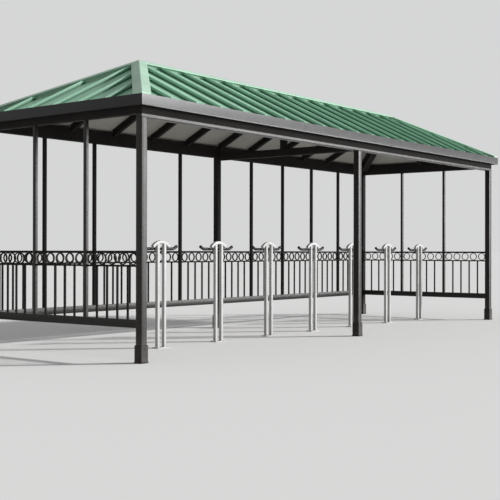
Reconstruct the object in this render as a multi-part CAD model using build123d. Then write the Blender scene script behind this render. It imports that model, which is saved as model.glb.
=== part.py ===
from build123d import *
from math import radians, sin, sqrt
import os

# Open-fronted bike shelter: aluminium frame, ornamental fence panels on three
# sides, a hipped standing-seam roof and seven bike racks in a row.
# Millimetres. X runs along the shelter, Y from the open front to the back and
# Z up. The origin is on the ground at the middle of the plan.

# Driving dimensions of the plan
LENGTH = 7925.0            # over the corner posts
WIDTH = 2380.0             # over the corner posts
LONG_BAYS = 10             # fence bays along the back, five each side of the middle post
END_BAYS = 3               # fence bays at each end

# Posts and their base sleeves
POST = 76.0                # square
HEADER_BOTTOM = 2380.0     # ground to the underside of the headers
SLEEVE_HEIGHT = 172.0
SLEEVE_WALL = 8.0
SLEEVE_BEVEL = 5.0
SLEEVE_LIP = 5.0           # how far the foot lip stands out of the sleeve
SLEEVE_LIP_HEIGHT = 14.0

# Headers and the middle frame
HEADER_HEIGHT = 154.0
FRONT_RAIL_HEIGHT = 36.0   # rail on the front posts, under the header
TIE_HEIGHT = 96.0
KING_POST = 75.0
RIDGE_BEAM_WIDTH = 38.0
RIDGE_BEAM_DEPTH = 104.0

# Sill rails and mullions
SILL_BOTTOM = 331.0
SILL_HEIGHT = 80.0
SILL_THICKNESS = 38.0
MULLION = 38.0             # square

# Fence panels
FENCE_TOP = 1073.0
TOP_RAIL_HEIGHT = 25.0
LOWER_RAIL_HEIGHT = 19.0
RAIL_THICKNESS = 25.0
RING_BAND = 112.0          # clear height between the two rails, filled by the rings
RING_WALL = 7.0
RING_DEPTH = 22.0
RING_SIDES = 8
RINGS_PER_BAY = 5          # a baluster stands between each two rings
BALUSTER = 19.0            # square

# Roof
ROOF_SLOPE = 0.50          # rise over run
OVERHANG = 76.0            # fascia face outside the header face
EAVE_LIP = 46.0            # from the deck's top at the eave to the fascia's upper edge
FASCIA_HEIGHT = 108.0
FASCIA_THICKNESS = 4.0
DECK_DEPTH = 13.0          # depths in the roof are measured plumb
PAN_DEPTH = 4.0
RIB_HEIGHT = 50.0
RIB_WIDTH = 14.0
RIB_PITCH = 381.0
RIB_GAP = 3.0              # from the end of a rib to the cap
SHORTEST_RIB = 60.0
CAP_DEPTH = 60.0           # the caps lie over the ribs' tops
RIDGE_CAP_LEG = 88.0
HIP_CAP_LEG = 88.0
RAFTER_WIDTH = 51.0
RAFTER_DEPTH = 85.0
HIP_RAFTER_WIDTH = 102.0
HIP_RAFTER_DEPTH = 140.0
RAFTER_SPACES = 8          # equal spaces between the rafters along the ridge

# Bike racks
RACKS = 7
FIRST_RACK = 1270.0        # from the left end of the shelter
RACK_PITCH = 1000.0
RACK_SETBACK = 927.0       # from the front face of the posts
RACK_TUBE = 38.0           # square
RACK_TUBE_SPACING = 106.0
RACK_HEIGHT = 1189.0
ARCH_RADIUS = 205.0        # outer radius of the arched top
ARCH_SPAN = 290.0          # width over the lower tips of the arch
ARM_SPAN = 612.0           # over the grips
ARM_BAR = 22.0
ARM_HEIGHT = 1085.0        # middle of the arm bar at its lowest
ARM_FLAT = 380.0           # straight middle of the arm bar
ARM_BEND_RADIUS = 100.0
ARM_BEND_ANGLE = 50.0
GRIP = 38.0                # diameter of the grip on each arm's end
GRIP_LENGTH = 50.0
GRIP_SIDES = 10
PLATE_LENGTH = 200.0
PLATE_WIDTH = 96.0
PLATE_THICKNESS = 8.0
ANCHOR_SPACING = 172.0     # between the two anchor holes, one beside each tube
ANCHOR_HOLE = 12.0

# Worked-out levels and lines
HALF_LENGTH = LENGTH / 2
HALF_WIDTH = WIDTH / 2
INNER_X = HALF_LENGTH - POST
INNER_Y = HALF_WIDTH - POST
POST_LINE_X = HALF_LENGTH - POST / 2
POST_LINE_Y = HALF_WIDTH - POST / 2
FRONT_CLEAR = HEADER_BOTTOM - FRONT_RAIL_HEIGHT  # under the front rail and the tie beam
HEADER_TOP = HEADER_BOTTOM + HEADER_HEIGHT
SILL_TOP = SILL_BOTTOM + SILL_HEIGHT
RUN = HALF_WIDTH + OVERHANG                      # from the ridge line to the fascia face
RIDGE_HALF = HALF_LENGTH - HALF_WIDTH            # hips lie at 45 degrees in plan
DECK_EAVE = HEADER_TOP + DECK_DEPTH - ROOF_SLOPE * OVERHANG  # the deck lies on the headers
DECK_RIDGE = DECK_EAVE + ROOF_SLOPE * RUN        # top of the deck at the ridge
FASCIA_TOP = DECK_EAVE + EAVE_LIP
FASCIA_BOTTOM = FASCIA_TOP - FASCIA_HEIGHT
DECK_RUN = RUN - FASCIA_THICKNESS                # deck, roofing and caps stop behind the fascia
RAFTER_RUN = INNER_Y                             # rafters butt against the headers
RAFTER_STEP = 2 * (RIDGE_HALF - RAFTER_WIDTH / 2) / RAFTER_SPACES
RACK_Y = RACK_SETBACK - HALF_WIDTH


def box(x0, x1, y0, y1, z0, z1):
    """Solid block between two corners."""
    return Pos((x0 + x1) / 2, (y0 + y1) / 2, (z0 + z1) / 2) * Box(x1 - x0, y1 - y0, z1 - z0)


def prism(points, z0, z1):
    """Plan outline carried straight up from z0 to z1."""
    return Pos(0, 0, z0) * extrude(make_face(Polyline(*points, close=True)), amount=z1 - z0)


def fuse(parts):
    """Join solids into one."""
    joined = parts[0]
    for part in parts[1:]:
        joined = joined + part
    return joined


def save(name, parts):
    """Write one node: a single solid or several that stand apart."""
    solids = []
    for part in parts:
        solids.extend(part.solids())
    shape = solids[0] if len(solids) == 1 else Compound(children=solids)
    shape.label = name
    export_step(shape, os.path.join("parts", name + ".step"))


# Roof geometry. A slope is worked out once, falling towards -Y from a ridge on
# the X axis, and then turned to the front, right, back or left of the roof.

def slope_slab(top, depth, run, half_ridge):
    """Layer of one slope, cut plumb at its hips and ridge.

    top is the layer's top above the deck's top and depth its plumb depth. run is
    how far it reaches from the ridge, and half_ridge is 0 for a triangular end.
    """
    ridge_z = DECK_RIDGE + top
    eave_z = ridge_z - ROOF_SLOPE * run
    section = Polyline((-run, eave_z), (0, ridge_z), (0, ridge_z - depth),
                       (-run, eave_z - depth), close=True)
    reach = half_ridge + run
    sheet = extrude(Plane.YZ * make_face(section), amount=reach, both=True)
    corners = [(-reach, -run), (reach, -run), (half_ridge, 0)]
    if half_ridge > 0:
        corners.append((-half_ridge, 0))
    return sheet & prism(corners, eave_z - depth, ridge_z)


def long_side(shape, side):
    """Put a shape made for the front slope on the front (-1) or the back (1)."""
    return shape if side < 0 else Rot(0, 0, 180) * shape


def end_side(shape, side):
    """Put a shape made for a slope on the left (-1) or the right (1) end."""
    return Pos(side * RIDGE_HALF, 0, 0) * Rot(0, 0, side * 90) * shape


def rib_lines(half_eave, on_middle):
    """Places of the ribs along an eave, a pitch apart, with a rib or a pan at its middle."""
    places = [0.0] if on_middle else []
    place = RIB_PITCH if on_middle else RIB_PITCH / 2
    while place < half_eave:
        places.extend((-place, place))
        place += RIB_PITCH
    return sorted(places)


def ribbed_slope(half_ridge):
    """Metal pan with its standing ribs, stopped short of the caps.

    A triangular end has a rib on its middle line, and a long slope a pan.
    """
    rib_top = PAN_DEPTH + RIB_HEIGHT
    pan = slope_slab(PAN_DEPTH, PAN_DEPTH, DECK_RUN, half_ridge)
    tall = slope_slab(rib_top, rib_top, DECK_RUN, half_ridge)
    ribs = []
    for x in rib_lines(half_ridge + DECK_RUN, half_ridge == 0):
        past_ridge = max(0.0, abs(x) + RIB_WIDTH / 2 - half_ridge)
        to_hip = past_ridge + HIP_CAP_LEG * sqrt(2)
        end = -max(to_hip if past_ridge else 0.0, RIDGE_CAP_LEG) - RIB_GAP
        if end + DECK_RUN > SHORTEST_RIB:
            half = RIB_WIDTH / 2
            strip = prism([(x - half, -DECK_RUN), (x + half, -DECK_RUN), (x + half, end), (x - half, end)],
                          FASCIA_BOTTOM, DECK_RIDGE + rib_top)
            ribs.append(tall & strip)
    return fuse([pan] + ribs)


def hip_cap():
    """Cap over the front right hip, from the ridge end to the fascia corner."""
    wide = HIP_CAP_LEG * sqrt(2)
    far = RIDGE_HALF + DECK_RUN
    outline = [(RIDGE_HALF, 0), (RIDGE_HALF, -wide), (far - wide, -DECK_RUN),
               (far, -DECK_RUN), (far, -DECK_RUN + wide), (RIDGE_HALF + wide, 0)]
    top = PAN_DEPTH + CAP_DEPTH
    band = prism(outline, FASCIA_BOTTOM, DECK_RIDGE + top)
    front = slope_slab(top, CAP_DEPTH, DECK_RUN, RIDGE_HALF) & band
    end = end_side(slope_slab(top, CAP_DEPTH, DECK_RUN, 0), 1) & band
    return front + end


def ridge_cap():
    """Cap along the ridge, ending where the hip caps begin."""
    ridge_z = DECK_RIDGE + PAN_DEPTH + CAP_DEPTH
    leg_z = ridge_z - ROOF_SLOPE * RIDGE_CAP_LEG
    section = Polyline((-RIDGE_CAP_LEG, leg_z), (0, ridge_z), (RIDGE_CAP_LEG, leg_z),
                       (RIDGE_CAP_LEG, leg_z - CAP_DEPTH), (0, ridge_z - CAP_DEPTH),
                       (-RIDGE_CAP_LEG, leg_z - CAP_DEPTH), close=True)
    return extrude(Plane.YZ * make_face(section), amount=RIDGE_HALF, both=True)


def rafter(x):
    """Rafter of the front slope at x, from the ridge beam down to the header's inner face."""
    half = RAFTER_WIDTH / 2
    strip = prism([(x - half, -RAFTER_RUN), (x + half, -RAFTER_RUN),
                   (x + half, -RIDGE_BEAM_WIDTH / 2), (x - half, -RIDGE_BEAM_WIDTH / 2)],
                  HEADER_BOTTOM, DECK_RIDGE)
    return slope_slab(-DECK_DEPTH, RAFTER_DEPTH, RAFTER_RUN, RIDGE_HALF) & strip


def end_rafter():
    """Middle rafter of an end slope in the slope's frame, its top cut to fit between the hip rafters."""
    half = RAFTER_WIDTH / 2
    hip_face = HIP_RAFTER_WIDTH / 2 * sqrt(2)
    strip = prism([(-half, -RAFTER_RUN), (half, -RAFTER_RUN), (half, -hip_face - half),
                   (0, -hip_face), (-half, -hip_face - half)], HEADER_BOTTOM, DECK_RIDGE)
    return slope_slab(-DECK_DEPTH, RAFTER_DEPTH, RAFTER_RUN, 0) & strip


def hip_rafter():
    """Hip rafter of the front right corner, from the ridge beam's end to the headers' corner."""
    half = HIP_RAFTER_WIDTH / 2 * sqrt(2)
    far = RIDGE_HALF + RAFTER_RUN
    outline = [(RIDGE_HALF, 0), (RIDGE_HALF, -half), (far - half, -RAFTER_RUN), (far, -RAFTER_RUN),
               (far, -RAFTER_RUN + half), (RIDGE_HALF + half, 0)]
    band = prism(outline, HEADER_BOTTOM, DECK_RIDGE)
    front = slope_slab(-DECK_DEPTH, HIP_RAFTER_DEPTH, RAFTER_RUN, RIDGE_HALF) & band
    end = end_side(slope_slab(-DECK_DEPTH, HIP_RAFTER_DEPTH, RAFTER_RUN, 0), 1) & band
    return front + end


def four_corners(shape):
    """Copies of a front right corner piece at all four corners."""
    front_left = mirror(shape, about=Plane.YZ)
    return [shape, front_left, mirror(shape, about=Plane.XZ), mirror(front_left, about=Plane.XZ)]


def fascia(half_long, half_short):
    """Fascia board on the -Y side of a half_long by half_short rectangle, mitred."""
    t = FASCIA_THICKNESS
    outline = [(-half_long, -half_short), (half_long, -half_short),
               (half_long - t, -half_short + t), (-half_long + t, -half_short + t)]
    return prism(outline, FASCIA_BOTTOM, FASCIA_TOP)


# Frame pieces

def post(x, y, top):
    """Square post standing on the ground."""
    half = POST / 2
    return box(x - half, x + half, y - half, y + half, 0, top)


def sleeve(x, y):
    """Base sleeve round a post, bevelled at its top, with a lip at the ground."""
    outer = POST + 2 * SLEEVE_WALL
    lip = outer + 2 * SLEEVE_LIP
    body = Pos(0, 0, SLEEVE_HEIGHT / 2) * Box(outer, outer, SLEEVE_HEIGHT)
    body = chamfer(body.faces().sort_by(Axis.Z)[-1].edges(), SLEEVE_BEVEL)
    foot = Pos(0, 0, SLEEVE_LIP_HEIGHT / 2) * Box(lip, lip, SLEEVE_LIP_HEIGHT)
    bore = Pos(0, 0, SLEEVE_HEIGHT / 2) * Box(POST, POST, SLEEVE_HEIGHT)
    return Pos(x, y, 0) * ((body + foot) - bore)


def bay_edges(line_half, bays, middle_post):
    """Clear stretches between the uprights of a wall line, from low to high."""
    pitch = 2 * line_half / bays
    edges = []
    for bay in range(bays):
        low = -line_half + bay * pitch
        high = low + pitch
        low_post = bay == 0 or (middle_post and bay == bays // 2)
        high_post = bay == bays - 1 or (middle_post and bay + 1 == bays // 2)
        edges.append((low + (POST if low_post else MULLION) / 2,
                      high - (POST if high_post else MULLION) / 2))
    return edges


def mullion_places(line_half, bays, middle_post):
    """Centres of the mullions of a wall line."""
    pitch = 2 * line_half / bays
    return [-line_half + i * pitch for i in range(1, bays)
            if not (middle_post and i == bays // 2)]


def mullion(x, y):
    """Slim upright from the sill rail to the header."""
    half = MULLION / 2
    return box(x - half, x + half, y - half, y + half, SILL_TOP, HEADER_BOTTOM)


def ring(x):
    """Flat ring between the rails, with a flat against each rail."""
    lower = FENCE_TOP - TOP_RAIL_HEIGHT - RING_BAND
    half_band = RING_BAND / 2
    outside = RegularPolygon(half_band, RING_SIDES, major_radius=False,
                             rotation=180 / RING_SIDES)
    inside = RegularPolygon(half_band - RING_WALL, RING_SIDES, major_radius=False,
                            rotation=180 / RING_SIDES)
    flat = extrude(Plane.XZ * (outside - inside), amount=RING_DEPTH / 2, both=True)
    return Pos(x, 0, lower + half_band) * flat


def fence_bay(low, high):
    """Fence panel of one bay, made along X: two rails, rings and balusters."""
    half = RAIL_THICKNESS / 2
    top_rail_bottom = FENCE_TOP - TOP_RAIL_HEIGHT
    lower_rail_top = top_rail_bottom - RING_BAND
    lower_rail_bottom = lower_rail_top - LOWER_RAIL_HEIGHT
    parts = [box(low, high, -half, half, top_rail_bottom, FENCE_TOP),
             box(low, high, -half, half, lower_rail_bottom, lower_rail_top)]
    step = (high - low) / RINGS_PER_BAY
    for i in range(RINGS_PER_BAY):
        parts.append(ring(low + (i + 0.5) * step))
    for i in range(1, RINGS_PER_BAY):
        x = low + i * step
        parts.append(box(x - BALUSTER / 2, x + BALUSTER / 2, -BALUSTER / 2, BALUSTER / 2,
                         SILL_TOP, lower_rail_bottom))
    return fuse(parts)


def onto_end(shape, side):
    """Turn a shape made along X onto the left (-1) or the right (1) end wall."""
    return Pos(side * POST_LINE_X, 0, 0) * Rot(0, 0, 90) * shape


def onto_back(shape):
    """Move a shape made along X onto the back wall."""
    return Pos(0, POST_LINE_Y, 0) * shape


# Bike racks

def rack():
    """Steel part of a rack: two tubes on a base plate under an arched top bar."""
    half = RACK_TUBE / 2
    arch_z = RACK_HEIGHT - ARCH_RADIUS
    bar = (Pos(0, 0, arch_z) * extrude(Plane.XZ * (Circle(ARCH_RADIUS)
           - Circle(ARCH_RADIUS - RACK_TUBE)), amount=half, both=True))
    tip_drop = sqrt(ARCH_RADIUS ** 2 - (ARCH_SPAN / 2) ** 2)
    wedge = Polyline((0, arch_z), (-ARCH_SPAN, arch_z + 2 * tip_drop),
                     (ARCH_SPAN, arch_z + 2 * tip_drop), close=True)
    bar = bar & extrude(Plane.XZ * make_face(wedge), amount=half, both=True)
    tubes = []
    for side in (-1, 1):
        x = side * RACK_TUBE_SPACING / 2
        reach = sqrt((ARCH_RADIUS - RACK_TUBE / 2) ** 2 - x ** 2)
        tubes.append(box(x - half, x + half, -half, half, PLATE_THICKNESS, arch_z + reach))
    plate = box(-PLATE_LENGTH / 2, PLATE_LENGTH / 2, -PLATE_WIDTH / 2, PLATE_WIDTH / 2,
                0, PLATE_THICKNESS)
    for place in GridLocations(ANCHOR_SPACING, 0, 2, 1):
        plate = plate - place * Pos(0, 0, PLATE_THICKNESS / 2) * Cylinder(ANCHOR_HOLE / 2,
                                                                         PLATE_THICKNESS)
    return fuse([plate, bar] + tubes)


def rack_arms():
    """Arm bar behind the tubes of a rack, turned up at both ends into grips."""
    half_flat = ARM_FLAT / 2
    angle = radians(ARM_BEND_ANGLE)
    bend = CenterArc((half_flat, ARM_HEIGHT + ARM_BEND_RADIUS), ARM_BEND_RADIUS,
                     -90, ARM_BEND_ANGLE)
    bend_end = bend @ 1
    direction = bend % 1
    tip_run = (ARM_SPAN / 2 - GRIP / 2 * sin(angle) - bend_end.X) / direction.X
    tip = bend_end + direction * tip_run
    path = Line((0, ARM_HEIGHT), (half_flat, ARM_HEIGHT)) + bend + Line(bend_end, tip)
    path = Plane.XZ * path
    section = Plane(origin=(0, 0, ARM_HEIGHT), x_dir=(0, 1, 0), z_dir=(1, 0, 0)) * Rectangle(
        ARM_BAR, ARM_BAR)
    bar = sweep(section, path=path)
    along = Vector(direction.X, 0, direction.Y)
    tip_point = Vector(tip.X, 0, tip.Y)
    grip_plane = Plane(origin=tip_point - along * GRIP_LENGTH, x_dir=(0, 1, 0), z_dir=along)
    grip = extrude(grip_plane * RegularPolygon(GRIP / 2, GRIP_SIDES), amount=GRIP_LENGTH)
    right = bar + grip
    both = right + mirror(right, about=Plane.YZ)
    return Pos(0, RACK_TUBE / 2 + ARM_BAR / 2, 0) * both


def rack_places():
    """Middle of each rack on the ground."""
    return [Pos(FIRST_RACK + i * RACK_PITCH - HALF_LENGTH, RACK_Y, 0) for i in range(RACKS)]


# Build and write every node

os.makedirs("parts", exist_ok=True)

corner_names = {"left": -POST_LINE_X, "middle": 0.0, "right": POST_LINE_X}
sleeves = []
for name, x in corner_names.items():
    save("post_front_" + name, [post(x, -POST_LINE_Y, FRONT_CLEAR)])
    save("post_back_" + name, [post(x, POST_LINE_Y, HEADER_BOTTOM)])
    sleeves.extend((sleeve(x, -POST_LINE_Y), sleeve(x, POST_LINE_Y)))
save("post_sleeves", sleeves)

save("front_rail", [box(-HALF_LENGTH, HALF_LENGTH, -HALF_WIDTH, -INNER_Y, FRONT_CLEAR, HEADER_BOTTOM)])
save("header_front", [box(-HALF_LENGTH, HALF_LENGTH, -HALF_WIDTH, -INNER_Y, HEADER_BOTTOM, HEADER_TOP)])
save("header_back", [box(-HALF_LENGTH, HALF_LENGTH, INNER_Y, HALF_WIDTH, HEADER_BOTTOM, HEADER_TOP)])
save("headers_end", [box(side * POST_LINE_X - POST / 2, side * POST_LINE_X + POST / 2,
                         -INNER_Y, INNER_Y, HEADER_BOTTOM, HEADER_TOP) for side in (-1, 1)])

tie_top = FRONT_CLEAR + TIE_HEIGHT
save("tie_beam", [box(-POST / 2, POST / 2, -INNER_Y, INNER_Y, FRONT_CLEAR, tie_top)])
under_deck = DECK_RIDGE - DECK_DEPTH
beam_bottom = under_deck - RIDGE_BEAM_DEPTH
save("king_post", [box(-KING_POST / 2, KING_POST / 2, -KING_POST / 2, KING_POST / 2,
                       tie_top, beam_bottom)])
half_beam = RIDGE_BEAM_WIDTH / 2
beam_shoulder = under_deck - ROOF_SLOPE * half_beam
beam_section = Polyline((-half_beam, beam_bottom), (half_beam, beam_bottom), (half_beam, beam_shoulder),
                        (0, under_deck), (-half_beam, beam_shoulder), close=True)
save("ridge_beam", [extrude(Plane.YZ * make_face(beam_section), amount=RIDGE_HALF, both=True)])

front_rafters = [rafter((i - RAFTER_SPACES / 2) * RAFTER_STEP) for i in range(RAFTER_SPACES + 1)]
save("rafters_front", front_rafters)
save("rafters_back", [long_side(piece, 1) for piece in front_rafters])
save("rafters_end", [end_side(end_rafter(), side) for side in (-1, 1)])
save("hip_rafters", four_corners(hip_rafter()))

long_deck = slope_slab(0, DECK_DEPTH, DECK_RUN, RIDGE_HALF)
end_deck = slope_slab(0, DECK_DEPTH, DECK_RUN, 0)
long_roof = ribbed_slope(RIDGE_HALF)
end_roof = ribbed_slope(0)
for name, side in (("front", -1), ("back", 1)):
    save("deck_" + name, [long_side(long_deck, side)])
    save("roof_" + name, [long_side(long_roof, side)])
    save("fascia_" + name, [long_side(fascia(RIDGE_HALF + RUN, RUN), side)])
for name, side in (("left", -1), ("right", 1)):
    save("deck_" + name, [end_side(end_deck, side)])
    save("roof_" + name, [end_side(end_roof, side)])
    save("fascia_" + name, [Rot(0, 0, side * 90) * fascia(RUN, RIDGE_HALF + RUN)])
save("ridge_cap", [ridge_cap()])
save("hip_caps", four_corners(hip_cap()))

half_sill = SILL_THICKNESS / 2
end_sill = box(-INNER_Y, INNER_Y, -half_sill, half_sill, SILL_BOTTOM, SILL_TOP)
back_sills = [box(-INNER_X, -POST / 2, -half_sill, half_sill, SILL_BOTTOM, SILL_TOP),
              box(POST / 2, INNER_X, -half_sill, half_sill, SILL_BOTTOM, SILL_TOP)]
save("sill_rails", [onto_end(end_sill, -1), onto_end(end_sill, 1)] + [onto_back(s) for s in back_sills])

end_mullions = [mullion(x, 0) for x in mullion_places(POST_LINE_Y, END_BAYS, False)]
save("mullions_end", [onto_end(piece, side) for side in (-1, 1) for piece in end_mullions])
save("mullions_back", [onto_back(mullion(x, 0)) for x in mullion_places(POST_LINE_X, LONG_BAYS, True)])

end_fence = [fence_bay(low, high) for low, high in bay_edges(POST_LINE_Y, END_BAYS, False)]
save("fence_left", [onto_end(bay, -1) for bay in end_fence])
save("fence_right", [onto_end(bay, 1) for bay in end_fence])
back_fence = [onto_back(fence_bay(low, high)) for low, high in bay_edges(POST_LINE_X, LONG_BAYS, True)]
save("fence_back_left", back_fence[:LONG_BAYS // 2])
save("fence_back_right", back_fence[LONG_BAYS // 2:])

rack_steel = rack()
for number, place in enumerate(rack_places(), start=1):
    save("rack_" + str(number), [place * rack_steel])
arm_piece = rack_arms()
save("rack_arms", [place * arm_piece for place in rack_places()])
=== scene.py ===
"""Looks of an open-fronted bike shelter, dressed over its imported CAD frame.

Lengths are metres in the frame of the CAD model: X runs along the shelter, Y from the open front
to the back and Z up, with the origin on the ground at the middle of the plan. Every new piece is
worked out with numpy as rings of points joined into a closed skin, and keeps its place in its mesh.
"""

import functools
import logging
import math
from dataclasses import dataclass, field
from enum import Enum

import bpy
import numpy as np
from mathutils import Matrix, Vector


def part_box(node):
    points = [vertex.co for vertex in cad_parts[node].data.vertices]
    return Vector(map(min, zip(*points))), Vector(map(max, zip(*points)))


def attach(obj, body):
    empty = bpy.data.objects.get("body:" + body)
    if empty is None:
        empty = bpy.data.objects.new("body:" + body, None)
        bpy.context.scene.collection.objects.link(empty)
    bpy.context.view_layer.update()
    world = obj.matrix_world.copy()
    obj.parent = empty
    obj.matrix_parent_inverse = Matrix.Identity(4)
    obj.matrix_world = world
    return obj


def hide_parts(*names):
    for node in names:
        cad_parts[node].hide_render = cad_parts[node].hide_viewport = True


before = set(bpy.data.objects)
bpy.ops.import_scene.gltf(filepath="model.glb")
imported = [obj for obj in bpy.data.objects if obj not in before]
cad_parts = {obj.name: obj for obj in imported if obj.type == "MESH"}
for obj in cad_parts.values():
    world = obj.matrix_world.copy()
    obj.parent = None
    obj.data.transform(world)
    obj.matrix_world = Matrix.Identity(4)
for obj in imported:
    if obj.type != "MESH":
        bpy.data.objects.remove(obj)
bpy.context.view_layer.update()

SHARP_ANGLE = math.radians(35.0)   # edges that turn more than this stay crisp
HAIR = 0.0005                      # smallest step between two skins, half a millimetre
ROOT_TWO = math.sqrt(2)            # a length along a hip's plan over its run

log = logging.getLogger("shelter")
Grid = np.ndarray


# Skins: closed surfaces worked out as whole arrays


@dataclass
class Skin:
    """Closed surface made of points, four-sided faces and flat end faces.

    Attributes:
        points: One row of three coordinates for each point.
        quads: Four point numbers for each face.
        caps: Point numbers of each flat end face.
    """

    points: Grid
    quads: Grid
    caps: list[Grid] = field(default_factory=list)

    def moved(self, x: float, y: float, z: float) -> "Skin":
        """Copy of the skin shifted by x, y and z."""
        return Skin(self.points + np.array([x, y, z]), self.quads, self.caps)

    def turned(self, columns: Grid) -> "Skin":
        """Copy of the skin whose X, Y and Z axes become the three columns."""
        return Skin(self.points @ np.asarray(columns, float).T, self.quads, self.caps).outward()

    def repeated(self, offsets: Grid | list[tuple[float, float, float]]) -> "Skin":
        """Copies of the skin at many places.

        Args:
            offsets: One row of three coordinates for each copy.

        Returns:
            One skin that holds every copy. Copy k of point p is p plus offset k.
        """
        offsets = np.asarray(offsets, float).reshape(-1, 3)
        count = len(self.points)
        points = (offsets[:, None, :] + self.points[None, :, :]).reshape(-1, 3)
        shifts = count * np.arange(len(offsets))
        quads = (shifts[:, None, None] + self.quads[None, :, :]).reshape(-1, 4)
        caps = [cap + shift for shift in shifts for cap in self.caps]
        return Skin(points, quads, caps)

    def paired(self, spacing: float) -> "Skin":
        """Two copies of the skin, half the spacing to each side along X."""
        return self.repeated([(-spacing / 2, 0.0, 0.0), (spacing / 2, 0.0, 0.0)])

    def mirrored(self, x: float, y: float) -> "Skin":
        """Copy of the skin whose X and Y are multiplied by x and y, each one or minus one."""
        return self.turned(np.diag([x, y, 1.0]))

    def outward(self) -> "Skin":
        """Skin with its faces turned outwards.

        The volume of a closed skin is a sixth of the sum, over its triangles, of the first corner
        times the cross product of the other two. Where that is negative, every face is reversed.

        Returns:
            This skin, or one with the same points and every face reversed.
        """
        middle = self.points - self.points.mean(axis=0)
        a, b, c, d = (middle[self.quads[:, i]] for i in range(4))
        volume = np.einsum("ij,ij->", a, np.cross(b, c)) + np.einsum("ij,ij->", a, np.cross(c, d))
        for cap in self.caps:
            fan = middle[cap]
            volume += np.einsum("ij,ij->", np.broadcast_to(fan[0], fan[1:-1].shape),
                                np.cross(fan[1:-1], fan[2:]))
        if volume >= 0:
            return self
        return Skin(self.points, self.quads[:, ::-1], [cap[::-1] for cap in self.caps])


def joined(skins: list[Skin]) -> Skin:
    """Put several skins into one.

    Args:
        skins: The skins, in order.

    Returns:
        One skin with the points of all, its face numbers shifted to suit.
    """
    shifts = np.cumsum([0] + [len(skin.points) for skin in skins[:-1]])
    return Skin(np.concatenate([skin.points for skin in skins]),
                np.concatenate([skin.quads + shift for skin, shift in zip(skins, shifts)]),
                [cap + shift for skin, shift in zip(skins, shifts) for cap in skin.caps])


def lofted(rings: Grid, loop: bool = False) -> Skin:
    """Join rings of points into a closed skin.

    Args:
        rings: Points by station and by corner, each ring closed on itself.
        loop: Whether the last ring joins the first. Otherwise both end rings become flat faces.

    Returns:
        The skin. Face (i, j) joins corners j and j + 1 of stations i and i + 1.
    """
    stations, corners = rings.shape[:2]
    numbers = np.arange(stations * corners).reshape(stations, corners)
    after = np.roll(numbers, -1, axis=0) if loop else numbers[1:]
    here = numbers if loop else numbers[:-1]
    quads = np.stack((here, np.roll(here, -1, axis=1), np.roll(after, -1, axis=1), after), axis=-1)
    caps = [] if loop else [numbers[0][::-1], numbers[-1]]
    return Skin(rings.reshape(-1, 3), quads.reshape(-1, 4), caps).outward()


def swept(profile: Grid, origins: Grid, sides: Grid, ups: Grid, loop: bool = False) -> Skin:
    """Carry a closed profile along a path.

    Args:
        profile: Two numbers for each corner, along the side and the up direction.
        origins: The path's stations.
        sides: Side direction at each station.
        ups: Up direction at each station.
        loop: Whether the path closes on itself.

    Returns:
        The skin. A corner lies at the station's origin, plus its first number times the side
        direction, plus its second number times the up direction.
    """
    across = profile[None, :, :1] * sides[:, None, :]
    upward = profile[None, :, 1:] * ups[:, None, :]
    return lofted(origins[:, None, :] + across + upward, loop)


def rounded(width: float, height: float, radius: float, steps: int = 3) -> Grid:
    """Corners of a rectangle with rounded corners, centred on nought.

    Each corner is a quarter circle about a point one radius in from both sides.

    Args:
        width: Size along the first number.
        height: Size along the second.
        radius: Radius of the corners, held under half of either size.
        steps: Sides of each corner.

    Returns:
        Two numbers for each corner, in order round it.
    """
    radius = max(min(radius, width / 2 - HAIR / 4, height / 2 - HAIR / 4), HAIR / 4)
    angles = np.radians(90.0 * np.arange(4)[:, None] + np.linspace(0.0, 90.0, steps + 1)[None, :])
    signs = np.array([[1, 1], [-1, 1], [-1, -1], [1, -1]], float)
    middles = signs * np.array([width / 2 - radius, height / 2 - radius])
    arc = radius * np.stack((np.cos(angles), np.sin(angles)), axis=-1)
    return (middles[:, None, :] + arc).reshape(-1, 2)


def bar(lo: tuple[float, float, float], hi: tuple[float, float, float],
        radius: float = 0.003, ease: float = 0.0015) -> Skin:
    """Straight rounded bar between two corners of its box.

    Args:
        lo: Lowest corner.
        hi: Highest corner.
        radius: Radius of its long edges.
        ease: How far its end edges are eased off.

    Returns:
        The skin, carried along the longest side of the box.
    """
    low, high = np.array(lo, float), np.array(hi, float)
    size, middle = high - low, (low + high) / 2
    axis = int(np.argmax(size))
    first, second = (axis + 1) % 3, (axis + 2) % 3
    places = (low[axis], low[axis] + ease, high[axis] - ease, high[axis])
    rings = []
    for place, cut in zip(places, (ease, 0.0, 0.0, ease)):
        outline = rounded(size[first] - 2 * cut, size[second] - 2 * cut, radius - cut / 2)
        ring = np.empty((len(outline), 3))
        ring[:, axis] = place
        ring[:, first] = outline[:, 0] + middle[first]
        ring[:, second] = outline[:, 1] + middle[second]
        rings.append(ring)
    return lofted(np.array(rings))


def level_ring(width: float, depth: float, radius: float, height: float, steps: int) -> Grid:
    """Corners of a rounded rectangle that lies level at a height.

    Args:
        width: Size along X.
        depth: Size along Y.
        radius: Radius of the corners.
        height: Level of the ring.
        steps: Sides of each corner.

    Returns:
        One row of three coordinates for each corner.
    """
    outline = rounded(width, depth, radius, steps)
    return np.column_stack((outline, np.full(len(outline), height)))


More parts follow.
